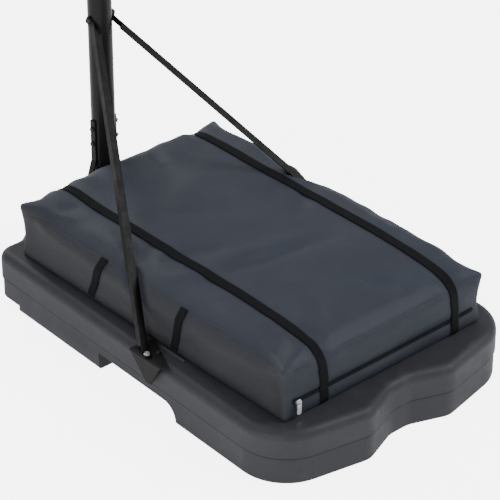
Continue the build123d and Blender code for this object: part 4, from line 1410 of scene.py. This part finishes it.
class HOOP_OT_stage(bpy.types.Operator):
    """Set the floor, the lights and the camera"""

    bl_idname = "hoop.stage"
    bl_label = "Stage"

    def execute(self, context):
        settings = context.scene.hoop_stage
        bpy.ops.mesh.primitive_circle_add(vertices=96, radius=40.0, fill_type="NGON", location=(0, 0, 0))
        floor = context.object
        floor.name = "floor"
        paint = Shader("floor_paint")
        cloud = paint.noise(0.8, 2.0, 0.5)
        pale = tuple(settings.floor_colour)
        paint.set(Base_Color=paint.blend(cloud, shade(pale, 0.99), shade(pale, 1.01)), Roughness=0.9)
        seen = paint.add("ShaderNodeLightPath").outputs["Is Camera Ray"]
        glow = paint.band(seen, 0.0, 1.0, 0.6, settings.floor_glow)
        paint.set(Specular_IOR_Level=0.1, Emission_Color=(1.0, 1.0, 1.0, 1.0), Emission_Strength=glow)
        floor.data.materials.append(paint.material)

        world = bpy.data.worlds.new("studio")
        context.scene.world = world
        world.use_nodes = True
        world.node_tree.nodes["Background"].inputs["Color"].default_value = (1.0, 1.0, 1.0, 1)
        world.node_tree.nodes["Background"].inputs["Strength"].default_value = 0.45

        soft_light("key", (-3.2, 3.6, 4.6), (0, 0.5, 0.2), size=2.6, power=190)
        soft_light("fill", (5.4, 2.4, 2.0), (0, 0.5, 0.2), size=2.4, power=110)
        soft_light("front", (-1.0, -6.0, 4.5), (0, -0.3, 2.6), size=4.0, power=190)

        data = bpy.data.cameras.new("camera")
        data.sensor_width = 36.0
        data.lens = settings.lens
        data.clip_start, data.clip_end = 0.1, 200.0
        camera = place_object("camera", data)
        a, e = settings.azimuth, settings.elevation
        back = Vector((math.sin(a) * math.cos(e), -math.cos(a) * math.cos(e), math.sin(e)))
        right = Vector((math.cos(a), math.sin(a), 0))
        up = back.cross(right)
        turn = Matrix((right, up, back)).transposed()
        camera.rotation_mode = "QUATERNION"
        camera.rotation_quaternion = turn.to_quaternion()
        camera.location = settings.place
        context.scene.camera = camera
        return {"FINISHED"}


class HOOP_PT_panel(bpy.types.Panel):
    """Every piece's operator, in making order"""

    bl_idname = "HOOP_PT_panel"
    bl_label = "Hoop"
    bl_space_type = "VIEW_3D"
    bl_region_type = "UI"
    bl_category = "Hoop"

    def draw(self, context):
        for operator in OPERATORS:
            self.layout.operator(operator.bl_idname)
        for settings in GROUPS:
            box = self.layout.box()
            group = getattr(context.scene, settings)
            for name in type(group).__annotations__:
                box.prop(group, name)


GROUPS = {
    "hoop_bag": BagSettings, "hoop_trim": TrimSettings,
    "hoop_hard": HardSettings, "hoop_stage": StageSettings,
}
OPERATORS = [
    HOOP_OT_stage, HOOP_OT_finishes, HOOP_OT_bag, HOOP_OT_straps, HOOP_OT_seams, HOOP_OT_zip, HOOP_OT_net,
    HOOP_OT_springs, HOOP_OT_board_lines, HOOP_OT_fasteners,
]


def register():
    for cls in [*GROUPS.values(), *OPERATORS, HOOP_PT_panel]:
        bpy.utils.register_class(cls)
    for name, group in GROUPS.items():
        setattr(bpy.types.Scene, name, bpy.props.PointerProperty(type=group))


def unregister():
    for name in GROUPS:
        delattr(bpy.types.Scene, name)
    for cls in reversed([*GROUPS.values(), *OPERATORS, HOOP_PT_panel]):
        bpy.utils.unregister_class(cls)


def main():
    register()
    for operator in OPERATORS:
        group, name = operator.bl_idname.split(".")
        getattr(getattr(bpy.ops, group), name)()
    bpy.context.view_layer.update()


if __name__ == "__main__":
    main()
